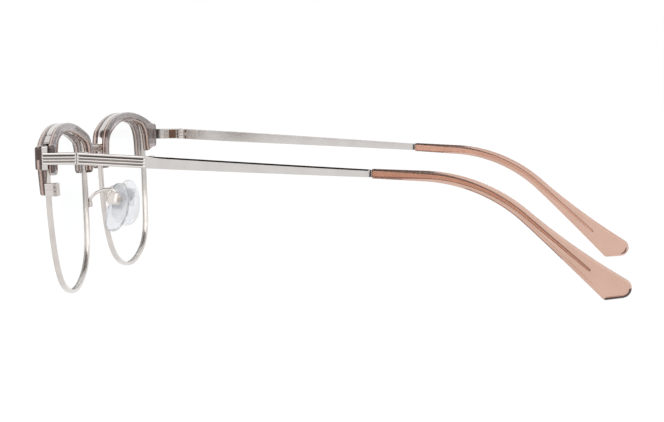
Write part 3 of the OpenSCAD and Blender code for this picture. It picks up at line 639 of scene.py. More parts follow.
# Lens, rim wire and brow
top_c = sides["top"][0]
top_outer_c = corners[("outer", "top")][0]
top_start_a = heading(top_c, top_outer_c)
flare_top_v = arm_v + flare_above


def lens_shape():
    line = refine(tidy_outline(rim_points(groove_d - wire_d - seat_gap)), 1.2)
    edge = 0.12
    shares = [k / 8 for k in range(1, 8)]
    levels = [(k, -lens_t / 2) for k in shares] + [(1.0, edge - lens_t / 2)]
    levels += [(1.0, lens_t / 2 - edge)] + [(k, lens_t / 2) for k in shares[::-1]]
    return loft([[on_shell((u * k, v * k), d) for u, v in line] for k, d in levels])


def outer_side(v):
    """The point of the rim's outer side at the height v."""
    return (half_w - outer_r + math.sqrt(outer_r**2 - (v - outer_rise) ** 2), v)


def wire_shape():
    """The rim wire: a crowned outer face, rounded edges, a groove for the lens, a split at the lock."""
    outer_edge, inner_edge, crown = 0.2, 0.15, 0.06
    half, groove_side, bed = wire_t / 2, lens_t / 2 + 0.02, wire_d - groove_d
    profile = []
    for i in range(5):
        a = 90 * i / 4
        profile.append((crown + outer_edge * (1 - cosd(a)), half - outer_edge * (1 - sind(a))))
    for i in range(4):
        a = 90 * i / 3
        profile.append((wire_d - inner_edge * (1 - sind(a)), half - inner_edge * (1 - cosd(a))))
    profile += [(wire_d, groove_side), (bed + 0.12, groove_side), (bed, lens_t / 2 - 0.15)]
    profile += [(w, -d) for w, d in reversed(profile)]
    profile += [(0.02, -half * 0.45), (0.0, 0.0), (0.02, half * 0.45)]
    line = refine(tidy_outline(rim_points(0)), 0.9)
    # start just above the split and run anticlockwise to just below it
    high_v, low_v = lock_v + lock_gap / 2, lock_v - lock_gap / 2
    right = [i for i, p in enumerate(line) if p[0] > 15]
    start = min(right, key=lambda i: abs(line[i][1] - high_v) + (10 if line[i][1] < high_v else 0))
    cut = line[start:] + line[:start]
    # clean ends at the split
    while cut[-1][1] >= low_v:
        cut.pop()
    first = outer_side(high_v)
    cut = [first] + [p for p in cut if (Vector(p) - Vector(first)).length > 0.2] + [outer_side(low_v)]
    last = len(cut) - 1
    rings = []
    for i, p in enumerate(cut):
        t = (Vector(cut[min(i + 1, last)]) - Vector(cut[max(i - 1, 0)])).normalized()
        rings.append([on_shell((p[0] - t.y * w, p[1] + t.x * w), d) for w, d in profile])
    return join(loft(rings), crest_shape())


def crest_shape():
    """The metal between the brow layers, from the rim wire's top corner out to the lug."""
    r = top_r - crest_in
    low = arm_v + lug_h / 2 + 0.3
    start_u = top_outer_c[0] + top_outer_corner_r / 2
    start_a = math.degrees(math.acos((start_u - top_c[0]) / r))
    end_a = math.degrees(math.asin((low + wire_d / 4 - top_c[1]) / r))
    crown = arc(top_c, r, end_a, start_a, 10, last=True)
    under = [p for p in rim_points(-0.35) if p[0] > start_u and p[1] > low]
    under.sort(key=lambda p: -p[1])
    line = refine(tidy_outline([(crown[0][0], low)] + crown + under + [(under[-1][0], low)], 0.05), 0.8)
    return slab(line, on_shell, -wire_t / 2, wire_t / 2, 0.1, steps=3)


def tangent_point(p, c, r):
    """Where a line from p touches a circle, on the side that lies clockwise from its centre."""
    far = (Vector(c) - Vector(p)).length
    return on_circle(p, math.sqrt(far * far - r * r), heading(p, c) + math.degrees(math.asin(r / far)))


def soften(a, p, b, run, steps=6):
    """Points of a smooth way round the corner at p, from run before it to run behind it."""
    a, p, b = Vector(a), Vector(p), Vector(b)
    q0 = p + (a - p).normalized() * run
    q1 = p + (b - p).normalized() * run
    return [tuple(q0.lerp(p, i / steps).lerp(p.lerp(q1, i / steps), i / steps)) for i in range(steps + 1)]


def brow_outline(flare, below, tail):
    """Outline of a brow layer, anticlockwise: over the rim to the nose, back to the tail, then the corner."""
    end_r, r = brow_d / 2, brow_corner_r
    u_out, v_low = half_w + flare, arm_v - below
    u_in = u_out - r
    up_a, out_a = math.asin((flare_top_v - top_c[1]) / top_r), math.acos((u_in - top_c[0]) / top_r)
    end_a = min(top_start_a - least_turn, math.degrees(max(up_a, out_a)))
    tail_c = (half_w - end_r, arm_v - tail + end_r)
    nasal_u = nasal_r - half_w - math.sqrt(nasal_r**2 - (brow_nasal_rise - nasal_rise) ** 2) + end_r
    nasal_v = brow_nasal_rise + end_r
    crown = arc(top_c, top_r, end_a + 0.8, top_start_a, 12, last=True)
    crown_end = on_circle(top_c, top_r, end_a)
    over_top = [p for p in rim_points(0) if p[1] > nasal_v and p[0] < crown[-1][0] - 0.1]
    over_top.sort(key=lambda p: math.atan2(p[1] - 6, p[0]) % (2 * math.pi))
    inside = [p for p in rim_points(-brow_d) if p[1] > (nasal_v if p[0] < 0 else tail_c[1])]
    inside.sort(key=lambda p: -(math.atan2(p[1] - 3, p[0]) % (2 * math.pi)))
    shoulder = (half_w + tail_out, v_low)
    touch = tangent_point(shoulder, tail_c, end_r)
    pts = crown + over_top
    pts += arc((nasal_u, nasal_v), end_r, 180, 360, 14, last=True) + inside
    pts += arc(tail_c, end_r, 180, heading(tail_c, touch) + 360, 14, last=True)
    pts += soften(touch, shoulder, (u_out, v_low), 0.7)
    pts += arc((u_in, v_low + r), r, 270, 360, 10, last=True)
    pts += arc((u_in, flare_top_v - r), r, 0, 90, 10, last=True)
    pts += soften((u_out, flare_top_v), crown_end, crown[0], min(0.9, abs(u_in - crown_end[0]) * 0.9 + 0.05))
    return refine(tidy_outline(pts, 0.06), 0.8)


def within(p, line):
    """Whether a point lies inside a closed outline."""
    odd = False
    for i, b in enumerate(line):
        a = line[i - 1]
        if (a[1] > p[1]) != (b[1] > p[1]) and p[0] < a[0] + (p[1] - a[1]) / (b[1] - a[1]) * (b[0] - a[0]):
            odd = not odd
    return odd


mid_rim = rim_points(-brow_d / 2)


def brow_tone(flare, bands, under_bands, dark_end):
    """Which of the brow's three plastics shows on its sides: smoky 0, painted shade 1 or painted highlight 2.
    bands are (share of the thickness, plastic) from the low face up, for the upper and outer sides, and
    under_bands for the side next to the lens."""
    def tone(share, p):
        # the nasal end is painted dark with shade
        if p[0] < 0 and p[1] < brow_nasal_rise + 0.5:
            return 1 if 0.15 < share < 0.85 else 0
        # the flare's end is painted dark with shade
        if p[0] > half_w + flare - 0.2 and p[1] > arm_v - 0.8:
            return 1 if dark_end[0] < share < dark_end[1] else 0
        rows = under_bands if within(p, mid_rim) else bands
        return next(number for top, number in rows if share <= top)
    return tone


def brow_front_shape():
    line = brow_outline(front_flare, front_below, front_tail)

    def place(p, t):
        low, high = shell_z(p[0], p[1], wire_t / 2 + seat_gap), face_z(p[0], p[1])
        return from_lens((p[0], p[1], low + (high - low) * t))

    # the layer is thicker at its corners, so heights are shares of its thickness
    # bands of painted shade (1) and painted highlight (2) through the thickness
    bands = ((0.22, 1), (0.38, 0), (0.7, 2), (1.0, 0))
    under = ((0.22, 1), (0.48, 2), (0.7, 0), (1.0, 1))
    tone = brow_tone(front_flare, bands, under, (0.1, 0.75))
    return slab(line, place, 0.0, 1.0, 0.42, steps=7, r_low=0.08, levels=(0.22, 0.38, 0.48), tone=tone)


def brow_rear_shape():
    line = brow_outline(rear_flare, rear_below, rear_tail)
    # bands of painted shade (1) and painted highlight (2) through the thickness
    bands = ((0.5, 0), (0.66, 1), (0.86, 2), (1.0, 1))
    under = ((0.12, 0), (0.34, 2), (0.52, 1), (0.7, 0), (0.86, 2), (1.0, 1))
    tone = brow_tone(rear_flare, bands, under, (0.8, 1.0))
    return slab(line, on_shell, -wire_t / 2 - brow_rear_t, -wire_t / 2 - seat_gap, 0.1, steps=7, r_low=0.75,
                levels=(0.5, 0.6, 0.66, 0.76, 0.86), tone=tone)


# Endpiece and temple
def rib_profile(h, depth, thick, bevel=0.12):
    """Section of the arm, as (up, out): rounded ribs on its outer side, and a bevel along its outer top edge.
    out runs from 0 inside to thick outside. Also the number of the material of each side of the section:
    0 plain, 1 the top groove's painted shade, 2 the bevel's painted shade, 3 the other grooves' lighter
    painted shade."""
    soft, crown = 0.12, 0.05
    tuck = soft * 0.3
    low, high = -h / 2, h / 2
    pts = [(low + soft, 0.0), (low + tuck, tuck), (low, soft)]
    pts += [(low, thick - soft), (low + tuck, thick - tuck)]
    marks = [0] * 5
    pitch = h / rib_count
    groove = groove_share * pitch
    for i in range(rib_count):
        lo = low + i * pitch + (groove / 2 if i > 0 else soft)
        hi = low + (i + 1) * pitch - (groove / 2 if i < rib_count - 1 else bevel)
        for k in range(5):
            f = k / 4
            sunk = crown * (2 * f - 1) ** 2 * min(1.0, depth / rib_depth + 0.001)
            pts.append((lo + (hi - lo) * f, thick - sunk))
            marks.append(0)
        if i < rib_count - 1:
            c = low + (i + 1) * pitch
            # the top groove is painted darkest with shade
            number = 1 if i == rib_count - 2 else 3
            marks[-1] = number
            for across, deep in ((-0.32, 0.6), (-0.15, 1.0), (0.15, 1.0), (0.32, 0.6)):
                pts.append((c + groove * across, thick - depth * deep))
                marks.append(number)
    marks[-1] = 2
    pts += [(high, thick - bevel * 0.8), (high, soft), (high - tuck, tuck), (high - soft, 0.0)]
    return pts, marks + [0] * 4


def arm_tone(marks, depths, bevel_from):
    """Which of the arm's metals shows: painted shade in the grooves where they are deep, and on the bevel
    from one ring on.
    """
    def tone(i, j):
        if marks[j] == 2:
            return 2 if i >= bevel_from else 0
        return marks[j] if min(depths[i], depths[i + 1]) > rib_depth * 0.5 else 0
    return tone


def endpiece_shape():
    """The ribbed arm with its rounded front corner, and the lug that lies between the brow layers."""
    lug_y = lens_y + outer_u * sind(lens_wrap) + sag(outer_u, arm_v) * cosd(lens_tilt)
    front = lug_y - arm_v * sind(lens_tilt) - wire_t / 2 + 0.02
    corner, end_r = 0.35, 0.1
    start, end = front + corner + 0.25, joint_y - turn_gap / 2
    ys = [front + corner * (1 - cosd(10 * i)) for i in range(10)]
    ys += [start + (end - 0.75 - start) * i / 14 for i in range(15)]
    ys += [end - short for short in (0.6, 0.45, 0.3, 0.15, 0.08, 0.03, 0.0)]
    rings, depths = [], []
    for y in ys:
        # grooves fade in behind the rounded corner, and out before the joint
        depths.append(rib_depth * part_of((y - front - 0.1) / 0.3, (end - 0.25 - y) / 0.3))
        shrink = round_in(end_r, end - y)
        narrow = (round_in(corner, y - front) + shrink) / arm_t
        pts, marks = rib_profile(arm_h - 2 * shrink, depths[-1], arm_t)
        rings.append([row((arm_in_x + out * (1 - narrow), y, arm_z + up)) for up, out in pts])
    arm = loft(rings, marks=arm_tone(marks, depths, len(rings)))
    rim = [p for p in rim_points(seat_gap) if p[0] > 15 and abs(p[1] - arm_v) < lug_h / 2]
    rim.sort(key=lambda p: -p[1])
    lo, hi = arm_v - lug_h / 2, arm_v + lug_h / 2
    edge = outer_u - 0.3
    line = [(edge - 0.3, lo), (edge - 0.09, lo + 0.09), (edge, lo + 0.3), (edge, hi - 0.3)]
    line += [(edge - 0.09, hi - 0.09), (edge - 0.3, hi), (rim[0][0], hi)] + rim + [(rim[-1][0], lo)]
    line = refine(tidy_outline(line, 0.05), 0.8)
    return join(arm, slab(line, on_shell, -wire_t / 2, wire_t / 2, 0.12, steps=4))


def run_on(start, end, step):
    """Places one step apart, from start on and short of end."""
    return [start + step * i for i in range(math.ceil((end - start) / step))]


def bar_shape():
    """The bar: ribbed in front, plain and tapering behind, its edges rounded."""
    end_r = 0.12
    runs = [0.0, 0.05, end_r, 0.2, 0.35, 0.5, 0.65] + run_on(0.9, ribbed_len - 1.6, 1.0)
    runs += [ribbed_len - 1.5 + 0.15 * i for i in range(12)] + run_on(ribbed_len + 0.6, bar_len - 0.5, 1.6)
    runs += [bar_len - 0.3, bar_len - 0.05, bar_len]
    rings, depths = [], []
    for s in runs:
        h = arm_h + (bar_end_h - arm_h) * part_of((s - ribbed_len) / (bar_len - ribbed_len))
        depths.append(rib_depth * part_of((ribbed_len - 0.4 - s) / 0.9, (s - 0.25) / 0.3))
        shrink = round_in(end_r, s)
        bevel = 0.12 + 0.27 * part_of((s - ribbed_len) / 3)
        pts, marks = rib_profile(h - 2 * shrink, depths[-1], arm_t - shrink, bevel)
        ring = []
        for up, out in pts:
            y, z = temple_point(s, up)
            # the front end is square to the joint, not to the slope
            if s < 0.5:
                y = max(y, joint_y + turn_gap / 2 + s * 0.9)
            ring.append(from_bow(y, z, out - arm_t / 2))
        rings.append(ring)
    return loft(rings, marks=arm_tone(marks, depths, sum(s <= ribbed_len + 0.5 for s in runs)))


def core_shape():
    """The core wire, which goes on from the bar inside the tip."""
    runs = run_on(bar_len - 0.5, core_end - 2, 1.0)
    runs += run_on(runs[-1] + 1.0, core_end, 0.15)
    rings = []
    for s in runs:
        k = math.sqrt(max(0.05, 1 - (1 - min(1.0, (core_end - s) / 0.6)) ** 2))
        high = core_h + (core_end_h - core_h) * (s - bar_len) / (core_end - bar_len)
        flat = core_t / 2 * k
        rings.append(temple_ring(s, rounded_box(2 * flat, high * k, 0.38 * min(flat, high / 2 * k))))

    def tone(i, j):
        # outside a coppery face between an upper and a lower edge painted dark and brown with shade; inside a
        # face painted pale, as lit
        if j == 19:
            return 0
        if j < 9:
            return 1
        return 2 if j > 13 else 3

    return loft(rings, marks=tone)


def tip_half(s):
    """Half the tip's height at the run s, up to the end of its bend."""
    return (tip_start_h + (tip_bend_h - tip_start_h) * (s - tip_start) / (paddle_start - tip_start)) / 2


def paddle_edge(run, half, power, steps=26):
    """One edge of the paddle, from the end of the bend to the place run behind it, where it is half wide."""
    start = tip_bend_h / 2
    return [(run * i / steps, start + (half - start) * (i / steps) ** power) for i in range(steps + 1)]


def tip_shape():
    gap = Vector(paddle_high_c) - Vector(paddle_low_c)
    lean = math.degrees(math.asin((paddle_high_r - paddle_low_r) / gap.length))
    end_turn = heading(paddle_low_c, paddle_high_c) - 90 - lean
    back = [(x, -y) for x, y in paddle_edge(paddle_low_c[0], paddle_low, 1.25)]
    back += arc(paddle_low_c, paddle_low_r, -90, end_turn, 10, last=True)
    back += arc(paddle_high_c, paddle_high_r, end_turn, 90, 16, last=True)
    back += paddle_edge(paddle_high_c[0], paddle_high, 1.9)[::-1]
    front = [tip_start + (paddle_start - tip_start) * i / 44 for i in range(44)]
    line = [temple_point(s, -tip_half(s)) for s in front]
    line += [temple_point(paddle_start + x, up) for x, up in back]
    line += [temple_point(s, tip_half(s)) for s in front[::-1]]
    line = refine(tidy_outline(line, 0.1), 1.0)

    def place(p, t):
        # a hair shorter than the CAD tip, so that no corner lies outside its box
        return from_bow(p[0] - 0.01, p[1], t)

    def tone(share, p):
        y, z = p
        run = (y - bend_end[0]) * cosd(bend_slope) - (z - bend_end[1]) * sind(bend_slope)
        # the outer lower edge of the paddle's end is painted dark, standing for a dark reflection
        if run > paddle_low_c[0] + 0.35 and z < paddle_low_r + 1.6:
            return 1 if 0.5 < share < 0.99 else 0
        # elsewhere a thin rim painted brown as shade, wider along the lower edge of the bend
        if above_middle(y, z):
            return 2 if 0.62 < share < 0.76 else 0
        in_bend = bend_start[0] + 9 < y < bend_end[0] + 9
        return 2 if 0.55 < share < (0.95 if in_bend else 0.83) else 0

    return slab(line, place, -tip_t / 2, tip_t / 2, 0.85, steps=7, tone=tone)


def collar_shape():
    """A polished ring with a waist, between the bar and the tip."""
    waist = ((0.0, 0.84), (0.06, 0.95), (0.16, 1.0), (0.3, 0.98), (0.4, 0.86), (0.7, 0.84), (0.82, 0.92),
             (1.0, 0.92))
    rings = []
    for share, k in waist:
        section = rounded_box(collar_t * k, collar_h * k, 0.6 * k, steps=6)
        rings.append(temple_ring(bar_len + seat_gap + collar_len * share, section))
    # the waist rings are painted dark with shade
    return loft(rings, marks=lambda i, j: 1 if 3 <= i <= 5 else 0)


# Hinge and rim lock
third = knuckles_h / 3
lock_back = -sag(half_w, lock_v) - lock_len


def arm_plate(y0, y1, up, high, corner, face_x, low, top, **edges):
    """A plate on the arm's inner side, from y0 to y1 round the height up, low to top inwards of face_x."""
    line = [((y0 + y1) / 2 + a, up + b) for a, b in rounded_box(y1 - y0, high, corner)]
    return slab(line, lambda p, t: row((face_x - t, p[0], arm_z + p[1])), low, top, 0.1, **edges)


def knuckle_ring(low, high):
    """A knuckle round the hinge's axis, between two heights."""
    rim = [(0.45, 0.0), (knuckle_r - 0.12, 0.0), (knuckle_r - 0.03, 0.03), (knuckle_r, 0.12)]
    return turned(on_hinge, [(r, low + h) for r, h in rim] + [(r, high - h) for r, h in rim[::-1]])


def slotted_head(place, r, turn, slot, low, high, edge):
    """The two halves of a screw's head. turn and slot are the angles of the slot and of half its width."""
    halves = []
    for a in (turn, turn + 180):
        line = arc((0, 0), r, a + slot, a + 180 - slot, 14, last=True)
        halves.append(slab(line, lambda p, t: place(p[0], p[1], t), low, high, edge, steps=2))
    return join(*halves)


def front_hinge_shape():
    """The leaf on the endpiece with its sunk face painted dark with shade, and the outer two knuckles."""
    y1 = axis_y - knuckle_r - leaf_clear
    y0 = y1 - leaf_len
    face = {"steps": 3, "r_low": 0.01}
    leaf = arm_plate(y0, y1 - 0.02, 0, knuckles_h - 0.1, 0.2, arm_in_x - seat_gap, 0.0, 0.45, **face)
    # the sunk face is painted dark with shade
    sunk = arm_plate(y0 + 1.5, y1 - 0.35, 0, knuckles_h - 0.35, 0.2, arm_in_x - 0.46, 0.0, 0.05, **face)
    high = third - knuckle_gap
    feet = (-knuckles_h / 2, -knuckles_h / 2 + 2 * third + knuckle_gap)
    knuckles = [knuckle_ring(foot, foot + high) for foot in feet]
    webs = [arm_plate(y1 - 0.3, axis_y, foot + high / 2, third - 0.08, 0.1, arm_in_x, 0.08, 0.9, steps=2)
            for foot in feet]
    return join(leaf, marked(sunk, 1), *knuckles, *webs)


def temple_hinge_shape():
    """The middle knuckle, and the leaf on the bar, narrow next to the knuckle and full behind it."""
    y0 = axis_y + knuckle_r + leaf_clear
    y1 = y0 + leaf_len
    neck, full = 0.55, knuckles_h / 2
    half = [(y0 - 0.25, neck), (y0 + 0.3, neck), (y0 + 0.45, full - 0.15), (y0 + 0.6, full), (y1 - 0.3, full),
            (y1, full - 0.3)]
    notch = [(y0 + 0.5, full - 0.1), (y0 - 0.1, full - 0.1)]

    def place(p, t):
        return from_bow(p[0], arm_z + p[1] - (p[0] - joint_y) * tand(temple_slope), -arm_t / 2 - t)

    leaf = slab(refine([(y, -up) for y, up in half] + half[::-1], 0.8), place, 0.01, 0.5, 0.08, steps=3)
    # a thin dark plate in the notch beside the knuckle: painted shade in the gap
    dark = refine([(y, -up) for y, up in notch[::-1]] + notch, 0.8)
    dark = marked(slab(dark, place, 0.0, 0.06, 0.02, steps=2), 1)
    return join(leaf, dark, knuckle_ring(knuckle_gap - third / 2, third / 2 - knuckle_gap))


def hinge_screw_shape():
    """A slotted screw through the knuckles: its head stands a hair above them."""
    top, low = knuckles_h / 2, -knuckles_h / 2
    shaft = [(0.3, low - 0.05), (0.42, low), (0.42, top - 0.02), (screw_r, top - 0.01), (screw_r, top + 0.02)]
    head = slotted_head(on_hinge, screw_r, 20, 12, top + 0.01, top + 0.12, 0.03)
    return join(turned(on_hinge, shaft), head)


def lock_shape():
    """Both halves of the rim lock: a block with a round back and soft edges, with a fine split between."""
    front = wire_t / 2 - sag(half_w + lock_w, lock_v + lock_h / 2) - seat_gap
    r, split, edge, chamfer = lock_w / 2, 0.02, 0.22, 0.15
    inner, outer = half_w - 0.05, half_w + lock_w
    line = [(inner, lock_back)] + arc((half_w + r, lock_back), r, 180, 360, 24, last=True)
    line += [(outer, front - chamfer), (outer - chamfer, front), (inner, front)]
    line = refine(tidy_outline(line, 0.03), 0.5)

    def place(p, t):
        return from_lens((p[0], lock_v + t, p[1]))

    # a band of painted shade on the outer side, where the flat side turns into the round back
    def tone(share, p):
        return 2 if p[0] > half_w + 1.7 and lock_back - 0.45 < p[1] < lock_back + 0.3 else 0

    upper = slab(line, place, split, lock_h / 2, edge, steps=5, r_low=split, tone=tone)
    lower = slab(line, place, -lock_h / 2, -split, split, steps=5, r_low=edge, tone=tone)
    # a small dark dot on the outer side of each half
    dots = []
    for up in (0.55, -0.5):
        dot = turned(lambda x, y, h: from_lens((outer + 0.004 + h, lock_v + up + x, lock_back + 0.1 + y)),
                     [(0.17, -0.05), (0.17, 0.0), (0.1, 0.004)], 14)
        dots.append(marked(dot, 1))
    return join(upper, lower, *dots)


def lock_screw_shape():
    """The slotted head of the lock's screw, in the underside of the lock."""
    def place(x, y, h):
        return from_lens((half_w + lock_w / 2 + x, lock_v - lock_h / 2 - h, lock_back + y))

    disc = turned(place, [(0.8, -0.4), (0.8, -0.01), (0.7, 0.01)])
    return join(disc, slotted_head(place, screw_head_r, 50, 11, 0.0, 0.07, 0.02))


# Nose pads, their arms, the bridge
rock_gap = (box_len / 2 + box_clear) * tand(pad_rock) + rock_clear
box_x = pad_t / 2 + rock_gap


def box_shape():
    """The pad box: a cup with soft edges, open towards the pad."""
    r = 0.5
    outer = rounded_box(box_w, box_len, 0.7, steps=6)
    inner, lip = offset(outer, box_wall), offset(outer, 0.07)

    def ring(line, x):
        return [from_pad((box_x + x, p[0], box_up + p[1])) for p in line]

    rings = [ring(offset(outer, r + 0.35), box_d)]
    for i in range(7):
        a = 90 * i / 6
        rings.append(ring(offset(outer, r * (1 - sind(a))), box_d - r * (1 - cosd(a))))
    # a fine step round the open end
    rings += [ring(outer, 0.6), ring(lip, 0.5), ring(lip, 0.06), ring(offset(outer, 0.12), 0.0)]
    rings += [ring(offset(inner, -0.05), 0.0), ring(inner, 0.06), ring(inner, box_d - box_wall)]
    return loft(rings)


def pad_shape():
    """A moulded pad: wider at the bottom, a crowned face to the nose, a softly rounded rim."""
    half_t, half_len, half_wide = pad_t / 2, pad_len / 2, pad_w / 2
    face_r, back_r, crown_r, oval, count = 0.55, 0.3, 16.0, 2.3, 72
    back = half_t - 0.75

    def ring(rho, x):
        pts = []
        for i in range(count):
            a = 2 * math.pi * i / count
            c, s = math.cos(a), math.sin(a)
            # a full oval, a little wider below the middle
            k = (abs(c) ** oval + abs(s) ** oval) ** (-1 / oval)
            z = half_len * k * c * rho
            y = half_wide * k * s * rho * (1 - 0.07 * (z / half_len))
            crown = (y * y + z * z) / (2 * crown_r)
            pts.append(from_pad((x + crown * (1 if x < half_t * 0.5 else 0.35), y, z)))
        return pts

    rings = [ring(k / 6 * (1 - face_r / half_wide), -half_t) for k in range(1, 6)]
    for k in range(7):
        a = 90 * k / 6
        rings.append(ring(1 - face_r / half_wide * (1 - sind(a)), -half_t + face_r * (1 - cosd(a))))
    for k in range(1, 7):
        a = 90 * k / 6
        rings.append(ring(1 - back_r / half_wide * (1 - cosd(a)), back - back_r * (1 - sind(a))))
    # a raised rim round a slightly sunk back, and the low hill that carries the insert
    hills = ((0.84, 0.0), (0.8, -0.1), (0.7, -0.12), (0.55, -0.08), (0.4, 0.08), (0.25, 0.25), (0.12, 0.3))
    return loft(rings + [ring(share, back + up) for share, up in hills])


def pad_arm_path():
    """The wire's middle line, in metres: up from its foot on the rim, then in a low bend to the box."""
    u = half_w - wire_d / 2
    foot = lens_place + lens_turn @ Vector((-u, -foot_below, -sag(u, foot_below) - wire_t / 2))
    root = Vector((foot.x, foot.y + arm_wire_r * foot_set, 0))
    root_z = foot.z - arm_wire_r
    mid_x, end_z = box_x + box_d / 2, box_up + box_len / 2
    x_at = mid_x * cosd(pad_lean) - end_z * sind(pad_lean)
    top = Vector((pad_x + x_at * cosd(pad_splay), pad_y - mid_y - x_at * sind(pad_splay), 0))
    end_up = pad_z + mid_x * sind(pad_lean) + end_z * cosd(pad_lean)
    start_up = end_up - 1.5
    pts = [root + Vector((0, 0, root_z + (start_up - root_z) * i / 6)) for i in range(6)]
    # the bend is highest close to the box
    ways = ((0.0, start_up), (0.16, start_up + 2.3), (0.98, end_up + 2.1), (1.0, end_up - 0.3))
    for i in range(31):
        t = i / 30
        weights = ((1 - t) ** 3, 3 * t * (1 - t) ** 2, 3 * t * t * (1 - t), t**3)
        run, up = (sum(k * way[n] for k, way in zip(weights, ways)) for n in (0, 1))
        pts.append(root + (top - root) * run + Vector((0, 0, up)))
    return [p * MM for p in pts]


def pad_arm_shape():
    """The wire, its thicker foot where it is soldered to the rim, and a collar of solder at the box."""
    path = pad_arm_path()
    low, high, before, last = path[0], path[4], path[-6], path[-1]
    wire = tube(path, lambda share: arm_wire_r * MM)
    foot = tube([low - Vector((0, 0, 0.0001)), low.lerp(high, 0.15), low.lerp(high, 0.85), high],
                lambda share: (0.5 + 0.12 * math.sin(math.pi * share)) * MM)
    end = tube([before.lerp(last, 0.2), before.lerp(last, 0.6), last],
               lambda share: (0.46 + 0.2 * share) * MM)
    return join(wire, foot, end)


def bridge_shape():
    """The arched bar between the rims. Its ends widen a little into the solder."""
    u, v = half_w - 0.4, (bridge_z - lens_z) / cosd(lens_tilt)
    end = lens_place + lens_turn @ Vector((-u, v, -sag(u, v)))
    r = (end.x**2 + bridge_arch**2) / (2 * bridge_arch)
    up = Vector((0, sind(bridge_lean), cosd(bridge_lean)))
    solder = 1.4
    rings = []
    for i in range(49):
        x = end.x * (1 - i / 24)
        high = math.sqrt(r * r - x * x)
        rise, slope = high - (r - bridge_arch), x / high
        centre = Vector((x, end.y - rise * cosd(bridge_lean), bridge_z + rise * sind(bridge_lean)))
        t = Vector((1, slope * cosd(bridge_lean), -slope * sind(bridge_lean))).normalized()
        out = t.cross(up)
        wide = 1 + 0.16 * max(0.0, (abs(x) - (end.x - solder)) / solder) ** 2
        section = rounded_box(bridge_t * wide, bridge_h * wide, 0.62 * wide, steps=5)
        rings.append([(centre + out * a + up * b) * MM for a, b in section])
    return loft(rings)


# Pieces of each side: name, shape, body, materials, slot and the nodes it replaces, without left or right
brow_three = (brow_plastic, brow_shade_plastic, brow_highlight_plastic)
tip_three = (tip_plastic, tip_end_shade_plastic, tip_rim_shade_plastic)
arm_metals = (temple_metal, top_groove_shade_metal, shade_metal, lower_grooves_shade_metal)
core_metals = (core_metal, core_top_shade_metal, core_low_shade_metal, core_lit_inside_metal)
hinge_two = (hinge_metal, hinge_recess_shade_metal)
lock_three = (rim_metal, shade_metal, band_shade_metal)
pieces = (
    ("clear_lens", lens_shape, "front", (lens_glass,), "lens", "lens"),
    ("rim_wire", wire_shape, "front", (rim_metal,), "rim_metal", "eyewire"),
    ("brow_front_layer", brow_front_shape, "front", brow_three, "brow_plastic", "brow_front"),
    ("brow_rear_layer", brow_rear_shape, "front", brow_three, "brow_plastic", "brow_rear"),
    ("ribbed_endpiece", endpiece_shape, "front", arm_metals, "rim_metal", "endpiece"),
    ("ribbed_bar", bar_shape, "temple", arm_metals, "rim_metal", "temple_bar"),
    ("core_wire", core_shape, "temple", core_metals, "rim_metal"),
    ("sleeve_collar", collar_shape, "temple", (temple_metal, shade_metal), "hinge_metal", "tip_collar"),
    ("temple_sleeve", tip_shape, "temple", tip_three, "tip_plastic", "temple_tip"),
    ("front_hinge_leaf", front_hinge_shape, "front", hinge_two, "hinge_metal", "front_hinge"),
    ("hinge_pin", hinge_screw_shape, "front", (screw_metal,), "screw_metal", "hinge_screw"),
    ("temple_hinge_leaf", temple_hinge_shape, "temple", hinge_two, "hinge_metal", "temple_hinge"),
    ("rim_lock", lock_shape, "front", lock_three, "rim_metal", "lock_upper", "lock_lower"),
    ("rim_lock_screw", lock_screw_shape, "front", (screw_metal,), "screw_metal", "lock_screw"),
    ("soft_pad", pad_shape, "pad", (pad_plastic,), "pad_plastic", "nose_pad"),
    ("pad_cup", box_shape, "front", (highlight_painted_metal,), "rim_metal", "pad_box"),
    ("pad_arm_wire", pad_arm_shape, "front", (rim_metal,), "rim_metal", "pad_arm"),
)

for side, word in ((1, "left_"), (-1, "right_")):
    for name, shape, body, materials, slot, *nodes in pieces:
        ob = new_mesh(word + name, *shape(), side=side)
        rides = body if body == "front" else word + body
        finish_piece(ob, rides, materials, slot, *[word + n for n in nodes])

finish_piece(new_mesh("arched_bridge", *bridge_shape()), "front", (highlight_painted_metal,), "rim_metal", "bridge")

# Camera
cam_yaw, cam_pitch, cam_roll = 6.8937, 4.4422, -0.9155
cam_place = Vector((627.342, 141.504 - mid_y, 67.25)) * MM
focal_px, photo_px, sensor = 2323.39, 664, 36.0
ahead = Vector((-cosd(cam_yaw) * cosd(cam_pitch), -sind(cam_yaw) * cosd(cam_pitch), -sind(cam_pitch)))
level = Vector((-sind(cam_yaw), cosd(cam_yaw), 0))
above = level.cross(ahead)
cam_right = level * cosd(cam_roll) + above * sind(cam_roll)
cam_up = above * cosd(cam_roll) - level * sind(cam_roll)
cam_data = bpy.data.cameras.new("photo_camera")
cam_data.sensor_width = sensor
cam_data.lens = focal_px / photo_px * sensor
cam_data.clip_start = 0.01
cam_data.clip_end = 50.0
cam = add_object("photo_camera", cam_data)
cam.matrix_world = Matrix.Translation(cam_place) @ Matrix((cam_right, cam_up, -ahead)).transposed().to_4x4()
scene = bpy.context.scene
scene.camera = cam
scene.view_settings.view_transform = "Standard"

# Floor, lamps and world
white = (1, 1, 1, 1)


def seen_ray(nt):
    """1 for rays from the camera, off gloss and through plastic, and 0 for the rest."""
    rays = node(nt, "ShaderNodeLightPath", -400, 400).outputs
    total = rays["Is Camera Ray"]
    for x, kind in ((-100, "Is Glossy Ray"), (50, "Is Transmission Ray")):
        terms = {0: total, 1: rays[kind]}
        total = node(nt, "ShaderNodeMath", x, 400, terms, operation="ADD", use_clamp=True).outputs["Value"]
    return total


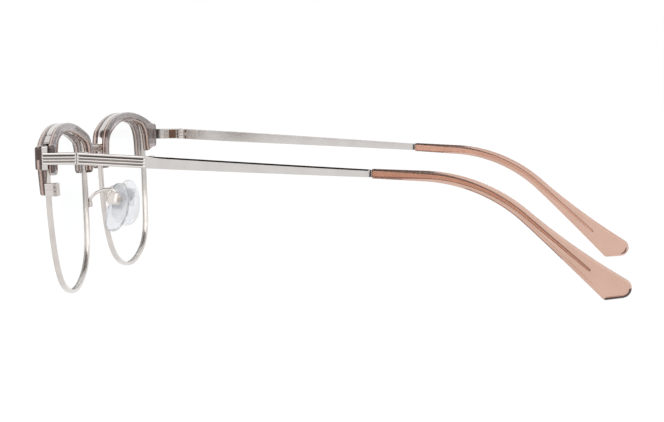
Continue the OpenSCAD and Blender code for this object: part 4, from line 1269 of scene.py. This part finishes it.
def floor_material():
    """Pale floor: plain white to the eye, with the object's soft shadow kept."""
    m, nt, coords = new_material("pale_floor")
    tint = ramp(nt, noise(nt, coords, 30.0, 3.0, 100), 0.3, 0.7, grey(0.90), grey(0.915), 100)
    matt = node(nt, "ShaderNodeBsdfDiffuse", 0, 100, {"Color": tint})
    glow = node(nt, "ShaderNodeEmission", 0, -100, {"Color": white, "Strength": 1.08})
    share = node(nt, "ShaderNodeMath", 200, 400, {0: seen_ray(nt), 1: 0.86}, operation="MULTIPLY")
    output(nt, Surface=mix(nt, share.outputs["Value"], matt.outputs["BSDF"], glow.outputs["Emission"]))
    return m


def plane(name, size, place, material):
    s = size / 2
    me = bpy.data.meshes.new(name)
    me.from_pydata([(-s, -s, 0), (s, -s, 0), (s, s, 0), (-s, s, 0)], [], [(0, 1, 2, 3)])
    me.materials.append(material)
    ob = add_object(name, me)
    ob.location = place
    return ob


def aim(ob, place, target):
    """Stands an object at a place, with its -Z towards the target."""
    ob.location = place
    ob.rotation_mode = "QUATERNION"
    ob.rotation_quaternion = (Vector(target) - Vector(place)).to_track_quat("-Z", "Y")


floor = plane("floor", 12.0, (0, 0, -0.00005), floor_material())

world = bpy.data.worlds.new("studio")
scene.world = world
world.use_nodes = True
sky = world.node_tree
sky.nodes.clear()
seen = node(sky, "ShaderNodeBackground", 200, 100, {"Color": white, "Strength": 1.0}).outputs["Background"]
fill = node(sky, "ShaderNodeBackground", 200, -100, {"Color": white, "Strength": 0.62}).outputs["Background"]
node(sky, "ShaderNodeOutputWorld", 1100, 0, {"Surface": mix(sky, seen_ray(sky), fill, seen)})


def area(name, place, target, size, power):
    data = bpy.data.lights.new(name, "AREA")
    data.shape = "RECTANGLE"
    data.size, data.size_y = size
    data.energy = power
    aim(add_object(name, data), place, target)


area("key_softbox", (1.1, -0.5, 1.0), (0, 0, 0.02), (1.9, 1.5), 9.0)
area("rim_softbox", (0.2, 1.2, 0.9), (0, 0, 0.02), (1.8, 1.4), 7.0)


def flag_material():
    """The dark of a studio flag, fading to clear at its edges."""
    m, nt, coords = new_material("dark_flag")
    ball = node(nt, "ShaderNodeTexGradient", -500, 0, {"Vector": coords}, gradient_type="SPHERICAL")
    share = ramp(nt, ball.outputs["Fac"], 0.0, 0.35, grey(0.0), grey(1.0), 0)
    clear = node(nt, "ShaderNodeBsdfTransparent", 200, 100)
    dark = node(nt, "ShaderNodeEmission", 200, -100, {"Color": linear(96, 84, 80) + (1,)})
    output(nt, Surface=mix(nt, share, clear.outputs["BSDF"], dark.outputs["Emission"]))
    return m


dark_flag = flag_material()


def flag(name, place, target, wide, high):
    """A dark card that shows only in gloss and through plastic, to give edges and grooves their contrast."""
    ob = plane(name, 2.0, place, dark_flag)
    ob.scale = (wide / 2, high / 2, 1)
    aim(ob, place, target)
    ob.visible_camera = False
    ob.visible_diffuse = False
    ob.visible_shadow = False


flag("ceiling_flag", (-0.1, 0, 1.5), (0, 0, 0), 1.8, 2.6)
flag("front_flag", (0.3, -1.6, 0.45), (0, 0, 0.02), 0.5, 1.0)
flag("back_flag", (0.3, 1.7, 0.45), (0, 0, 0.02), 0.5, 1.0)
